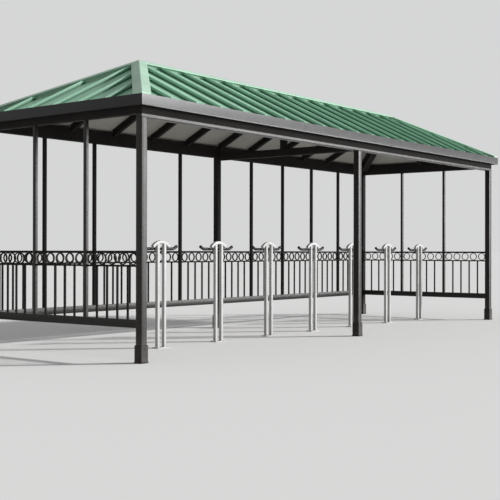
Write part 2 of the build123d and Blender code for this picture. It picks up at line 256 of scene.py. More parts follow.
def turned_about_z(outline: list[tuple[float, float]], steps: int, start: float = 0.0) -> Skin:
    """Turn an outline about the Z axis.

    Args:
        outline: Radius and height of each ring, from one end to the other.
        steps: Sides all round.
        start: Angle of the first side, in degrees.

    Returns:
        The skin. A point lies at radius times the cosine and sine of its angle.
    """
    rows = np.array(outline, float)
    angles = np.radians(start) + np.linspace(0.0, 2 * np.pi, steps, endpoint=False)
    circle = np.stack((np.cos(angles), np.sin(angles), np.zeros(steps)), axis=-1)
    rings = rows[:, None, :1] * circle[None, :, :]
    rings[:, :, 2] = rows[:, 1:]
    return lofted(rings)


def square_collar(levels: list[tuple[float, float]], radius: float) -> Skin:
    """Closed collar round a square tube.

    Args:
        levels: Half width and height of each ring, going round the collar's cross-section.
        radius: Corner radius of the widest ring.

    Returns:
        The skin. Each ring is a rounded square, and the last ring joins the first.
    """
    widest = max(half for half, _ in levels)
    rings = [level_ring(2 * half, 2 * half, max(radius + half - widest, HAIR), height, 4)
             for half, height in levels]
    return lofted(np.array(rings), loop=True)


def add_piece(name: str, skin: Skin, finish: "Finish", replaces: tuple[str, ...] = (),
              plan: Grid | None = None, rise: Grid | None = None) -> bpy.types.Object:
    """Make one Blender object of a skin and dress it.

    Args:
        name: The piece's name.
        skin: Its surface, in place.
        finish: What it is finished with.
        replaces: CAD nodes that it stands for.
        plan: Two surface coordinates of each point, kept as a UV map.
        rise: Height of each point above the foot where shade is painted, kept as the attribute "rise".

    Returns:
        The object, riding on the shelter's one body.
    """
    mesh = bpy.data.meshes.new(name)
    mesh.from_pydata(skin.points.tolist(), [], skin.quads.tolist() + [cap.tolist() for cap in skin.caps])
    if plan is not None:
        corners = np.zeros(len(mesh.loops), np.int32)
        mesh.loops.foreach_get("vertex_index", corners)
        layer = mesh.uv_layers.new(name="surface")
        layer.data.foreach_set("uv", plan[corners].astype(np.float32).ravel())
    if rise is not None:
        heights = mesh.attributes.new("rise", "FLOAT", "POINT")
        heights.data.foreach_set("value", rise.astype(np.float32))
    mesh.shade_smooth()
    mesh.set_sharp_from_angle(angle=SHARP_ANGLE)
    mesh.materials.append(material_of(finish))
    piece = bpy.data.objects.new(name, mesh)
    bpy.context.scene.collection.objects.link(piece)
    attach(piece, "root")
    if replaces:
        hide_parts(*replaces)
    log.info("%s: %d points, %d faces", name, len(skin.points), len(skin.quads) + len(skin.caps))
    return piece


def dress_node(node: str, finish: "Finish") -> None:
    """Give a CAD node that stays its finish.

    Args:
        node: The node's name.
        finish: What it is finished with.
    """
    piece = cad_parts[node]
    for place in piece.material_slots:
        place.material = material_of(finish)
    if not piece.material_slots:
        piece.data.materials.append(material_of(finish))
    log.info("%s: CAD node dressed in %s", node, finish.name)


# Finishes


def shade(colour: tuple[float, float, float], factor: float) -> tuple[float, float, float]:
    """Colour made lighter or darker by a factor."""
    return tuple(min(1.0, part * factor) for part in colour)


class NodeTree:
    """Short calls for the shader nodes that the finishes use."""

    def __init__(self, name: str) -> None:
        """Start a material that has only its Principled shader and its output.

        Args:
            name: The material's name.
        """
        self.material = bpy.data.materials.new(name)
        self.material.use_nodes = True
        self.tree = self.material.node_tree
        self.shader = next(n for n in self.tree.nodes if n.type == "BSDF_PRINCIPLED")
        self.coordinates = self.tree.nodes.new("ShaderNodeTexCoord")

    def plain(self, **sockets: float | tuple[float, ...]) -> None:
        """Set the shader's own sockets. An underscore in a name stands for a space."""
        for name, value in sockets.items():
            self.shader.inputs[name.replace("_", " ")].default_value = value

    def link(self, start: bpy.types.NodeSocket, end: bpy.types.NodeSocket) -> None:
        """Join two sockets."""
        self.tree.links.new(start, end)

    def feed(self, socket: str, value: bpy.types.NodeSocket) -> None:
        """Drive one of the shader's sockets."""
        self.link(value, self.shader.inputs[socket])

    def stretched(self, stretch: tuple[float, float, float], source: str) -> bpy.types.NodeSocket:
        """Coordinates scaled by stretch along each axis.

        Args:
            stretch: Scale along each axis.
            source: Which coordinates to scale.

        Returns:
            The scaled coordinates.
        """
        mapping = self.tree.nodes.new("ShaderNodeMapping")
        mapping.inputs["Scale"].default_value = stretch
        self.link(self.coordinates.outputs[source], mapping.inputs["Vector"])
        return mapping.outputs["Vector"]

    def noise(self, scale: float, detail: float = 3.0, roughness: float = 0.55,
              stretch: tuple[float, float, float] = (1.0, 1.0, 1.0),
              source: str = "Object") -> bpy.types.NodeSocket:
        """Cloudy pattern from nought to one.

        Args:
            scale: Patches a metre.
            detail: How many finer layers are added.
            roughness: How strong the finer layers are.
            stretch: Scale along each axis, on top of the first.
            source: Which coordinates it follows.

        Returns:
            The pattern's value.
        """
        texture = self.tree.nodes.new("ShaderNodeTexNoise")
        texture.inputs["Scale"].default_value = scale
        texture.inputs["Detail"].default_value = detail
        texture.inputs["Roughness"].default_value = roughness
        self.link(self.stretched(stretch, source), texture.inputs["Vector"])
        return texture.outputs["Fac"]

    def spread(self, value: bpy.types.NodeSocket, low: float, high: float,
               from_low: float = 0.3, from_high: float = 0.7) -> bpy.types.NodeSocket:
        """Map a pattern's middle range onto low to high, held at both ends.

        Args:
            value: The pattern.
            low: Result at the low end.
            high: Result at the high end.
            from_low: Where the low end lies.
            from_high: Where the high end lies.

        Returns:
            The mapped pattern.
        """
        node = self.tree.nodes.new("ShaderNodeMapRange")
        for name, number in (("From Min", from_low), ("From Max", from_high),
                             ("To Min", low), ("To Max", high)):
            node.inputs[name].default_value = number
        self.link(value, node.inputs["Value"])
        return node.outputs["Result"]

    def height(self) -> bpy.types.NodeSocket:
        """Height above the ground, in metres.

        Returns:
            The height's value.
        """
        node = self.tree.nodes.new("ShaderNodeSeparateXYZ")
        self.link(self.coordinates.outputs["Object"], node.inputs["Vector"])
        return node.outputs["Z"]

    def rise(self) -> bpy.types.NodeSocket:
        """Height above the foot that the piece's own attribute gives, in metres.

        Returns:
            The attribute's value.
        """
        node = self.tree.nodes.new("ShaderNodeAttribute")
        node.attribute_name = "rise"
        return node.outputs["Fac"]

    def product(self, first: bpy.types.NodeSocket, second: bpy.types.NodeSocket) -> bpy.types.NodeSocket:
        """Product of two patterns.

        Args:
            first: One pattern.
            second: The other.

        Returns:
            The product's value.
        """
        node = self.tree.nodes.new("ShaderNodeMath")
        node.operation = "MULTIPLY"
        self.link(first, node.inputs[0])
        self.link(second, node.inputs[1])
        return node.outputs[0]

    def blend(self, amount: bpy.types.NodeSocket, first: tuple[float, ...] | bpy.types.NodeSocket,
              second: tuple[float, ...]) -> bpy.types.NodeSocket:
        """Colour that goes from the first to the second with the amount.

        Args:
            amount: Pattern from nought to one.
            first: Colour at nought.
            second: Colour at one.

        Returns:
            The blended colour.
        """
        node = self.tree.nodes.new("ShaderNodeMix")
        node.data_type = "RGBA"
        self.link(amount, node.inputs["Factor"])
        if isinstance(first, bpy.types.NodeSocket):
            self.link(first, node.inputs[6])
        else:
            node.inputs[6].default_value = (*first, 1.0)
        node.inputs[7].default_value = (*second, 1.0)
        return node.outputs[2]

    def tones(self, pattern: bpy.types.NodeSocket, colour: tuple[float, ...], darker: float,
              lighter: float) -> bpy.types.NodeSocket:
        """Colour that follows a pattern.

        Args:
            pattern: The pattern.
            colour: The colour that it varies.
            darker: Factor where the pattern is low.
            lighter: Factor where it is high.

        Returns:
            The varied colour.
        """
        return self.blend(self.spread(pattern, 0.0, 1.0), shade(colour, darker), shade(colour, lighter))

    def bumps(self, heights: list[tuple[bpy.types.NodeSocket, float]]) -> None:
        """Lift the surface by several patterns, each with its height in metres.

        Args:
            heights: The patterns and their heights.
        """
        normal = None
        for pattern, distance in heights:
            node = self.tree.nodes.new("ShaderNodeBump")
            node.inputs["Strength"].default_value = 1.0
            node.inputs["Distance"].default_value = distance
            self.link(pattern, node.inputs["Height"])
            if normal is not None:
                self.link(normal, node.inputs["Normal"])
            normal = node.outputs["Normal"]
        self.feed("Normal", normal)


class Slot(Enum):
    """Material slots of the record."""

    FRAME = "bronze_frame"
    DECK = "roof_deck"
    ROOFING = "green_roofing"
    FASCIA = "fascia_metal"
    RACK_STEEL = "rack_steel"
    RACK_RUBBER = "rack_rubber"


@dataclass(frozen=True)
class Finish:
    """What a surface is finished with.

    Attributes:
        name: The material's name.
        colour: Linear red, green and blue.
        roughness: Middle of the shader's roughness.
        slot: The record's slot that it belongs to. The floor has none.
    """

    name: str
    colour: tuple[float, float, float]
    roughness: float
    slot: Slot | None = None

    def build(self) -> bpy.types.Material:
        """Make the finish's material."""
        raise NotImplementedError


@dataclass(frozen=True)
class PowderCoat(Finish):
    """Satin powder coat: fine orange peel, soft blotches, run-off streaks and dust at the ground.

    Attributes:
        dust: Colour of the dust.
        dust_height: Height at which it has faded out.
        dust_share: How much of it covers the surface at the ground.
        peel: Depth of the orange peel.
        waviness: Depth of the slack in a flat sheet.
        gloss: The shader's specular level.
    """

    dust: tuple[float, float, float] = (0.22, 0.195, 0.165)
    dust_height: float = 0.30
    dust_share: float = 0.45
    peel: float = 0.00012
    waviness: float = 0.0
    gloss: float = 0.24

    def build(self) -> bpy.types.Material:
        """Make the material. Dust fades out with height, broken up by a cloudy pattern.

        Returns:
            The material.
        """
        nodes = NodeTree(self.name)
        nodes.plain(Specular_IOR_Level=self.gloss)
        colour = nodes.tones(nodes.noise(scale=3.1, detail=4.0), self.colour, 0.84, 1.2)
        run_off = nodes.noise(scale=9.0, detail=4.0, roughness=0.6, stretch=(4.0, 4.0, 0.35))
        streaks = nodes.spread(run_off, 0.0, 0.35, from_low=0.52, from_high=0.8)
        colour = nodes.blend(streaks, colour, shade(self.colour, 1.9))
        near_ground = nodes.spread(nodes.height(), self.dust_share, 0.0, 0.0, self.dust_height)
        patches = nodes.spread(nodes.noise(scale=21.0, detail=5.0, roughness=0.62), 0.25, 1.0)
        nodes.feed("Base Color", nodes.blend(nodes.product(near_ground, patches), colour, self.dust))
        cloud = nodes.noise(scale=6.3, detail=4.0)
        nodes.feed("Roughness", nodes.spread(cloud, self.roughness - 0.02, self.roughness + 0.03))
        heights = [(nodes.noise(scale=620.0, detail=2.0), self.peel)]
        if self.waviness > 0:
            heights.append((nodes.noise(scale=2.3, detail=1.0), self.waviness))
        nodes.bumps(heights)
        return nodes.material


@dataclass(frozen=True)
class CoilCoat(Finish):
    """Coil-coated roofing sheet: faded patches, streaks down the slope, slack in the pans and, where
    asked, shade painted at the seams' feet.

    Attributes:
        streak: Colour of the streaks.
        slack: Depth of the slack.
        gloss: The shader's specular level.
        painted_foot_shade: Colour of the shade painted at the foot of the seams, where seam and pan meet.
        painted_foot_shade_height: Height at which that painted shade has faded out. With nought there is
            none.
    """

    streak: tuple[float, float, float] = (0.42, 0.50, 0.44)
    slack: float = 0.0035
    gloss: float = 0.18
    painted_foot_shade: tuple[float, float, float] = (0.024, 0.11, 0.055)
    painted_foot_shade_height: float = 0.0

    def build(self) -> bpy.types.Material:
        """Make the material. Streaks run down the slope on the piece's own surface map.

        Returns:
            The material.
        """
        nodes = NodeTree(self.name)
        nodes.plain(Specular_IOR_Level=self.gloss)
        colour = nodes.tones(nodes.noise(scale=1.7, detail=4.0), self.colour, 0.88, 1.12)
        run_off = nodes.noise(scale=14.0, detail=5.0, roughness=0.6, stretch=(1.0, 0.07, 1.0), source="UV")
        streaks = nodes.spread(run_off, 0.0, 0.22, from_low=0.5, from_high=0.8)
        colour = nodes.blend(streaks, colour, self.streak)
        # Painted shade: the seams' feet are darkened towards the pan, where shade falls between seam and
        # pan.
        if self.painted_foot_shade_height > 0:
            foot = nodes.spread(nodes.rise(), 0.92, 0.0, 0.3 * self.painted_foot_shade_height, self.painted_foot_shade_height)
            colour = nodes.blend(foot, colour, self.painted_foot_shade)
        nodes.feed("Base Color", colour)
        cloud = nodes.noise(scale=5.0, detail=3.0)
        nodes.feed("Roughness", nodes.spread(cloud, self.roughness - 0.04, self.roughness + 0.08))
        slack = nodes.noise(scale=2.6, detail=1.0, roughness=0.4, stretch=(1.0, 0.35, 1.0), source="UV")
        nodes.bumps([(slack, self.slack), (nodes.noise(scale=480.0, detail=2.0), 0.00008)])
        return nodes.material


@dataclass(frozen=True)
class DeckPaint(Finish):
    """Matt off-white underside of the deck, with water marks and a stipple.

    Attributes:
        mark: Colour of the marks.
    """

    mark: tuple[float, float, float] = (0.20, 0.185, 0.155)

    def build(self) -> bpy.types.Material:
        """Make the material. Marks lie where two cloudy patterns are both strong.

        Returns:
            The material.
        """
        nodes = NodeTree(self.name)
        nodes.plain(Specular_IOR_Level=0.3)
        colour = nodes.tones(nodes.noise(scale=1.3, detail=4.0), self.colour, 0.9, 1.08)
        wide = nodes.spread(nodes.noise(scale=2.2, detail=5.0, roughness=0.65), 0.0, 1.0, 0.48, 0.7)
        fine = nodes.spread(nodes.noise(scale=17.0, detail=5.0, roughness=0.6), 0.0, 0.55, 0.42, 0.75)
        nodes.feed("Base Color", nodes.blend(nodes.product(wide, fine), colour, self.mark))
        cloud = nodes.noise(scale=9.0)
        nodes.feed("Roughness", nodes.spread(cloud, self.roughness - 0.06, self.roughness + 0.06))
        nodes.bumps([(nodes.noise(scale=240.0), 0.0003), (nodes.noise(scale=3.0, detail=2.0), 0.002)])
        return nodes.material


@dataclass(frozen=True)
class BrushedSteel(Finish):
    """Bright steel brushed along its tubes, dulled in patches and dusty at the foot.

    Attributes:
        metallic: How much it reflects as bare metal.
        dust: Colour of the dust.
    """

    metallic: float = 0.17
    dust: tuple[float, float, float] = (0.40, 0.37, 0.33)

    def build(self) -> bpy.types.Material:
        """Make the material. Brush lines are a noise stretched along Z.

        Returns:
            The material.
        """
        nodes = NodeTree(self.name)
        nodes.plain(Metallic=self.metallic, Specular_IOR_Level=0.4)
        colour = nodes.tones(nodes.noise(scale=7.0, detail=4.0), self.colour, 0.9, 1.06)
        lines = nodes.noise(scale=300.0, detail=2.0, roughness=0.5, stretch=(1.0, 1.0, 0.025))
        colour = nodes.blend(nodes.spread(lines, 0.0, 0.25), colour, shade(self.colour, 0.7))
        near_ground = nodes.spread(nodes.height(), 0.5, 0.0, 0.0, 0.12)
        patches = nodes.spread(nodes.noise(scale=40.0, detail=5.0, roughness=0.6), 0.2, 1.0)
        nodes.feed("Base Color", nodes.blend(nodes.product(near_ground, patches), colour, self.dust))
        nodes.feed("Roughness", nodes.spread(lines, self.roughness - 0.05, self.roughness + 0.1))
        nodes.bumps([(lines, 0.00006), (nodes.noise(scale=60.0, detail=2.0), 0.0001)])
        return nodes.material


@dataclass(frozen=True)
class GripRubber(Finish):
    """Black moulded rubber with a fine grain, rubbed paler in patches.

    Attributes:
        rubbed: Colour of the rubbed patches.
    """

    rubbed: tuple[float, float, float] = (0.03, 0.03, 0.031)

    def build(self) -> bpy.types.Material:
        """Make the material. The grain is a fine noise, and rubbing a coarser one.

        Returns:
            The material.
        """
        nodes = NodeTree(self.name)
        nodes.plain(Specular_IOR_Level=0.25)
        worn = nodes.spread(nodes.noise(scale=28.0, detail=5.0, roughness=0.6), 0.0, 0.7, 0.45, 0.8)
        nodes.feed("Base Color", nodes.blend(worn, self.colour, self.rubbed))
        cloud = nodes.noise(scale=35.0)
        nodes.feed("Roughness", nodes.spread(cloud, self.roughness - 0.08, self.roughness + 0.08))
        nodes.bumps([(nodes.noise(scale=900.0, detail=2.0), 0.00015)])
        return nodes.material


@dataclass(frozen=True)
class ZincPlate(Finish):
    """Zinc-plated fasteners, clouded grey."""

    def build(self) -> bpy.types.Material:
        """Make the material. The plating's cloudiness is one noise in colour and gloss.

        Returns:
            The material.
        """
        nodes = NodeTree(self.name)
        nodes.plain(Metallic=0.8, Specular_IOR_Level=0.5)
        cloud = nodes.noise(scale=130.0, detail=4.0, roughness=0.6)
        nodes.feed("Base Color", nodes.tones(cloud, self.colour, 0.75, 1.0))
        nodes.feed("Roughness", nodes.spread(cloud, self.roughness - 0.08, self.roughness + 0.1))
        nodes.bumps([(cloud, 0.0001)])
        return nodes.material


@dataclass(frozen=True)
class StagePaint(Finish):
    """Plain pale matt floor."""

    def build(self) -> bpy.types.Material:
        """Make the material, one colour without gloss.

        Returns:
            The material.
        """
        nodes = NodeTree(self.name)
        nodes.plain(Specular_IOR_Level=0.0, Roughness=self.roughness)
        nodes.shader.inputs["Base Color"].default_value = (*self.colour, 1.0)
        return nodes.material


@functools.cache
def material_of(finish: Finish) -> bpy.types.Material:
    """Material of a finish, made once."""
    return finish.build()


BRONZE = PowderCoat("bronze_powder_coat", (0.014, 0.0119, 0.0108), 0.32, Slot.FRAME)
BRONZE_CAST = PowderCoat("bronze_cast_sleeve", (0.017, 0.0142, 0.0130), 0.55, Slot.FRAME,
                         dust_share=0.22, peel=0.0003, gloss=0.15)
# Painted shade: a duller, less glossy copy of the bronze, for the parts that stand in the roof's shade.
BRONZE_SHADE_COPY = PowderCoat("bronze_painted_shade_coat", (0.015, 0.0135, 0.0125), 0.72, Slot.FRAME, gloss=0.10)
BRONZE_SHEET = PowderCoat("bronze_coil_sheet", (0.009, 0.0093, 0.0096), 0.33, Slot.FASCIA,
                          waviness=0.00015, gloss=0.27)
# The roof sheet has shade painted at the seams' feet, fading out 30 mm above the pan.
GREEN_SHEET = CoilCoat("green_roof_sheet", (0.36, 0.64, 0.47), 0.42, Slot.ROOFING, painted_foot_shade_height=0.030)
GREEN_CAP = CoilCoat("green_cap_sheet", (0.42, 0.63, 0.49), 0.45, Slot.ROOFING)
DECK_WHITE = DeckPaint("deck_underside", (0.33, 0.322, 0.290), 0.75, Slot.DECK)
STEEL = BrushedSteel("rack_bright_steel", (0.43, 0.428, 0.424), 0.45, Slot.RACK_STEEL)
RUBBER = GripRubber("rack_black_rubber", (0.008, 0.008, 0.009), 0.50, Slot.RACK_RUBBER)
ZINC = ZincPlate("zinc_fasteners", (0.55, 0.55, 0.54), 0.38, Slot.RACK_STEEL)
FLOOR_PAINT = StagePaint("pale_floor", (0.92, 0.915, 0.905), 0.9)


# Stage, light and camera


@dataclass(frozen=True)
class Studio:
    """Pale floor, soft light from the front right and a pale surround.

    Attributes:
        floor_reach: Half the side of the floor.
        floor_drop: How far the floor lies under the ground level.
        surround: Colour of the background.
        sky: Colour of the light from all round.
        fill: Strength of that light.
        key: Strength of the main lamp.
        key_from: Direction to the main lamp.
        key_spread: Its width in the sky, in degrees.
        sheen: Strength of the low broad lamp that the front faces mirror.
        sheen_from: Direction to that lamp.
        sheen_spread: Its width, in degrees.
    """

    floor_reach: float = 1500.0
    floor_drop: float = 0.0008
    surround: tuple[float, float, float] = (0.67, 0.672, 0.675)
    sky: tuple[float, float, float] = (0.97, 0.985, 1.0)
    fill: float = 0.28
    key: float = 2.5
    key_from: tuple[float, float, float] = (0.70, -0.65, 0.53)
    key_spread: float = 4.0
    sheen: float = 2.9
    sheen_from: tuple[float, float, float] = (0.73, -0.68, 0.08)
    sheen_spread: float = 26.0

    def build(self) -> None:
        """Make the floor, the lamps and the surround."""
        self.add_floor()
        self.add_lamp("key_lamp", self.key, self.key_from, self.key_spread)
        self.add_lamp("sheen_lamp", self.sheen, self.sheen_from, self.sheen_spread)
        self.add_surround()

    def add_floor(self) -> None:
        """Make the floor, a hair under the ground level so that nothing lies in its plane."""
        reach = self.floor_reach
        mesh = bpy.data.meshes.new("floor")
        corners = [(-reach, -reach), (reach, -reach), (reach, reach), (-reach, reach)]
        mesh.from_pydata([(x, y, -self.floor_drop) for x, y in corners], [], [(0, 1, 2, 3)])
        mesh.materials.append(material_of(FLOOR_PAINT))
        floor = bpy.data.objects.new("floor", mesh)
        bpy.context.scene.collection.objects.link(floor)

    def add_lamp(self, name: str, strength: float, direction: tuple[float, float, float],
                 spread: float) -> None:
        """Add a lamp that shines from a direction, as wide as its spread.

        Args:
            name: The lamp's name.
            strength: Its strength.
            direction: Where it shines from.
            spread: Its width, in degrees.
        """
        lamp = bpy.data.lights.new(name, "SUN")
        lamp.energy = strength
        lamp.angle = math.radians(spread)
        holder = bpy.data.objects.new(name, lamp)
        holder.rotation_euler = Vector(direction).to_track_quat("Z", "Y").to_euler()
        bpy.context.scene.collection.objects.link(holder)

    def add_surround(self) -> None:
        """Light everything softly, and show a plain pale colour to the eye and in reflections."""
        world = bpy.data.worlds.new("surround")
        bpy.context.scene.world = world
        world.use_nodes = True
        tree = world.node_tree
        tree.nodes.clear()
        rays = tree.nodes.new("ShaderNodeLightPath")
        seen = rays.outputs["Is Camera Ray"]
        for kind in ("Is Glossy Ray", "Is Transmission Ray"):
            either = tree.nodes.new("ShaderNodeMath")
            either.operation = "MAXIMUM"
            tree.links.new(seen, either.inputs[0])
            tree.links.new(rays.outputs[kind], either.inputs[1])
            seen = either.outputs[0]
        mixer = tree.nodes.new("ShaderNodeMixShader")
        tree.links.new(seen, mixer.inputs[0])
        for socket, colour, strength in ((1, self.sky, self.fill), (2, self.surround, 1.0)):
            light = tree.nodes.new("ShaderNodeBackground")
            light.inputs["Color"].default_value = (*colour, 1.0)
            light.inputs["Strength"].default_value = strength
            tree.links.new(light.outputs[0], mixer.inputs[socket])
        output = tree.nodes.new("ShaderNodeOutputWorld")
        tree.links.new(mixer.outputs[0], output.inputs["Surface"])


@dataclass(frozen=True)
class Viewpoint:
    """Camera at eye height, off the near left corner and level.

    Attributes:
        place: Where the lens is.
        yaw: Angle of the gaze from +X towards +Y, in degrees.
        pitch: Angle of the gaze above level, in degrees.
        roll: Turn of the picture to the right, in degrees.
        lens: Focal length, in millimetres.
        film: Width of the frame behind the lens, in millimetres.
        reach: How far the camera sees, in metres.
    """

    place: tuple[float, float, float] = (-10.8010, -7.7679, 1.0636)
    yaw: float = 37.6617
    pitch: float = 0.1034
    roll: float = 0.0851
    lens: float = 71.585
    film: float = 36.0
    reach: float = 4000.0

    def build(self) -> None:
        """Make the camera and look through it."""
        yaw, pitch, roll = (math.radians(a) for a in (self.yaw, self.pitch, self.roll))
        gaze = Vector((math.cos(yaw) * math.cos(pitch), math.sin(yaw) * math.cos(pitch), math.sin(pitch)))
        level = Vector((math.sin(yaw), -math.cos(yaw), 0.0))
        upward = level.cross(gaze)
        right = math.cos(roll) * level + math.sin(roll) * upward
        top = math.cos(roll) * upward - math.sin(roll) * level
        lens = bpy.data.cameras.new("camera")
        lens.sensor_width = self.film
        lens.lens = self.lens
        lens.clip_end = self.reach
        camera = bpy.data.objects.new("camera", lens)
        facing = Matrix((right, top, -gaze)).transposed().to_4x4()
        camera.matrix_world = Matrix.Translation(self.place) @ facing
        bpy.context.scene.collection.objects.link(camera)
        bpy.context.scene.camera = camera


# Frame


def box_of(node: str) -> tuple[Grid, Grid]:
    """Lowest and highest corner of a CAD node."""
    low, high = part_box(node)
    return np.array(low), np.array(high)


def middle_of(node: str) -> tuple[float, float, float]:
    """Place on the ground under the middle of a CAD node."""
    low, high = box_of(node)
    return (low[0] + high[0]) / 2, (low[1] + high[1]) / 2, 0.0


@dataclass
class Posts:
    """Six square posts and their cast base sleeves.

    Attributes:
        names: The posts' nodes. The back ones stand in shade and get the duller, less glossy copy of the
            coat, which paints that shade onto them.
        corner: Radius of a post's long edges.
        sleeve_wall: Thickness of a sleeve.
        sleeve_height: Height of a sleeve.
        sleeve_corner: Radius of a sleeve's upright corners.
        bevel: Bevel at a sleeve's top.
        lip: How far the foot lip stands out.
        lip_height: Height of the foot lip.
        lip_bevel: Bevel at the lip's top.
        screw_radius: Radius of a set screw's head.
        screw_height: Height of the set screws.
    """

    names: tuple[str, ...] = tuple(f"post_{row}_{place}" for row in ("front", "back")
                                   for place in ("left", "middle", "right"))
    corner: float = 0.0035
    sleeve_wall: float = 0.008
    sleeve_height: float = 0.172
    sleeve_corner: float = 0.006
    bevel: float = 0.005
    lip: float = 0.005
    lip_height: float = 0.014
    lip_bevel: float = 0.003
    screw_radius: float = 0.006
    screw_height: float = 0.135

    def build(self) -> None:
        """Make the posts, the sleeves and the sleeves' screws."""
        for name in self.names:
            low, high = box_of(name)
            half = (high[0] - low[0]) / 2
            # The back posts get the bronze copy that paints shade.
            coat = BRONZE_SHADE_COPY if "back" in name else BRONZE
            add_piece(f"{name}_tube", bar(low, high, self.corner), coat, (name,))
        places = [middle_of(name) for name in self.names]
        add_piece("base_sleeves", self.sleeve(half).repeated(places), BRONZE_CAST, ("post_sleeves",))
        screws = self.screws(half + self.sleeve_wall)
        add_piece("sleeve_screws", screws.repeated(places), BRONZE_CAST)

    def sleeve(self, half: float) -> Skin:
        """One sleeve: out over the foot lip, up, over the bevel and down along the post.

        Args:
            half: Half the side of a post.

        Returns:
            The sleeve, about the post's middle line.
        """
        wall, top, inside = half + self.sleeve_wall, self.sleeve_height, half + HAIR
        foot, lip_top = wall + self.lip, self.lip_height
        levels = [(foot, HAIR), (foot, lip_top - self.lip_bevel), (foot - self.lip_bevel, lip_top),
                  (wall + 0.001, lip_top + 0.0005), (wall, lip_top + 0.002), (wall, top - self.bevel),
                  (wall - self.bevel / 2, top - self.bevel / 4), (wall - self.bevel, top),
                  (inside, top - 0.001), (inside, HAIR)]
        return square_collar(levels, self.sleeve_corner)

    def screws(self, face: float) -> Skin:
        """Round heads with a socket, on all four faces of a sleeve.

        A head's outline runs from the face over its rim and down into its socket.

        Args:
            face: Distance of a sleeve's face from the post's middle line.

        Returns:
            Four screws, about the post's middle line.
        """
        r = self.screw_radius
        head = turned_about_z([(r, -0.001), (r, 0.0016), (0.75 * r, 0.0034), (0.45 * r, 0.0038),
                               (0.42 * r, 0.0018), (0.001, 0.0018)], 12)
        heads = []
        for turn in range(4):
            angle = turn * math.pi / 2
            out = np.array([math.cos(angle), math.sin(angle), 0.0])
            across = np.array([-math.sin(angle), math.cos(angle), 0.0])
            turned = head.turned(np.column_stack((across, (0.0, 0.0, 1.0), out)))
            heads.append(turned.moved(*(face * out[:2]), self.screw_height))
        return joined(heads)


@dataclass
class Beams:
    """Headers, front rail and middle frame, all rounded tubes, and the dressed rafters and deck.

    Attributes:
        corner: Radius of their long edges.
        single: Nodes that are one straight tube each.
        in_the_light: Those of them that stand clear of the roof's shade and have the bright coat. The rest
            get the copy of the coat that paints shade.
        header_width: Width of the end headers.
        rafter_nodes: CAD nodes of the roof's framing, which stay.
        deck_nodes: CAD nodes of the deck, which stay.
    """

    corner: float = 0.0035
    single: tuple[str, ...] = ("front_rail", "header_front", "header_back", "tie_beam", "king_post")
    in_the_light: tuple[str, ...] = ("front_rail",)
    header_width: float = 0.076
    rafter_nodes: tuple[str, ...] = ("rafters_front", "rafters_back", "rafters_end", "hip_rafters",
                                     "ridge_beam")
    deck_nodes: tuple[str, ...] = ("deck_front", "deck_back", "deck_left", "deck_right")

    def build(self) -> None:
        """Make the tubes and dress the rafters and the deck."""
        for name in self.single:
            # Tubes in the roof's shade get the bronze copy that paints shade.
            coat = BRONZE if name in self.in_the_light else BRONZE_SHADE_COPY
            add_piece(f"{name}_tube", bar(*box_of(name), self.corner), coat, (name,))
        # The end headers and the rafters also get the bronze copy that paints shade.
        low, high = box_of("headers_end")
        left = bar(low, (low[0] + self.header_width, high[1], high[2]), self.corner)
        right = left.moved(high[0] - low[0] - self.header_width, 0.0, 0.0)
        add_piece("end_header_tubes", joined([left, right]), BRONZE_SHADE_COPY, ("headers_end",))
        for name in self.rafter_nodes:
            dress_node(name, BRONZE_SHADE_COPY)
        for name in self.deck_nodes:
            dress_node(name, DECK_WHITE)


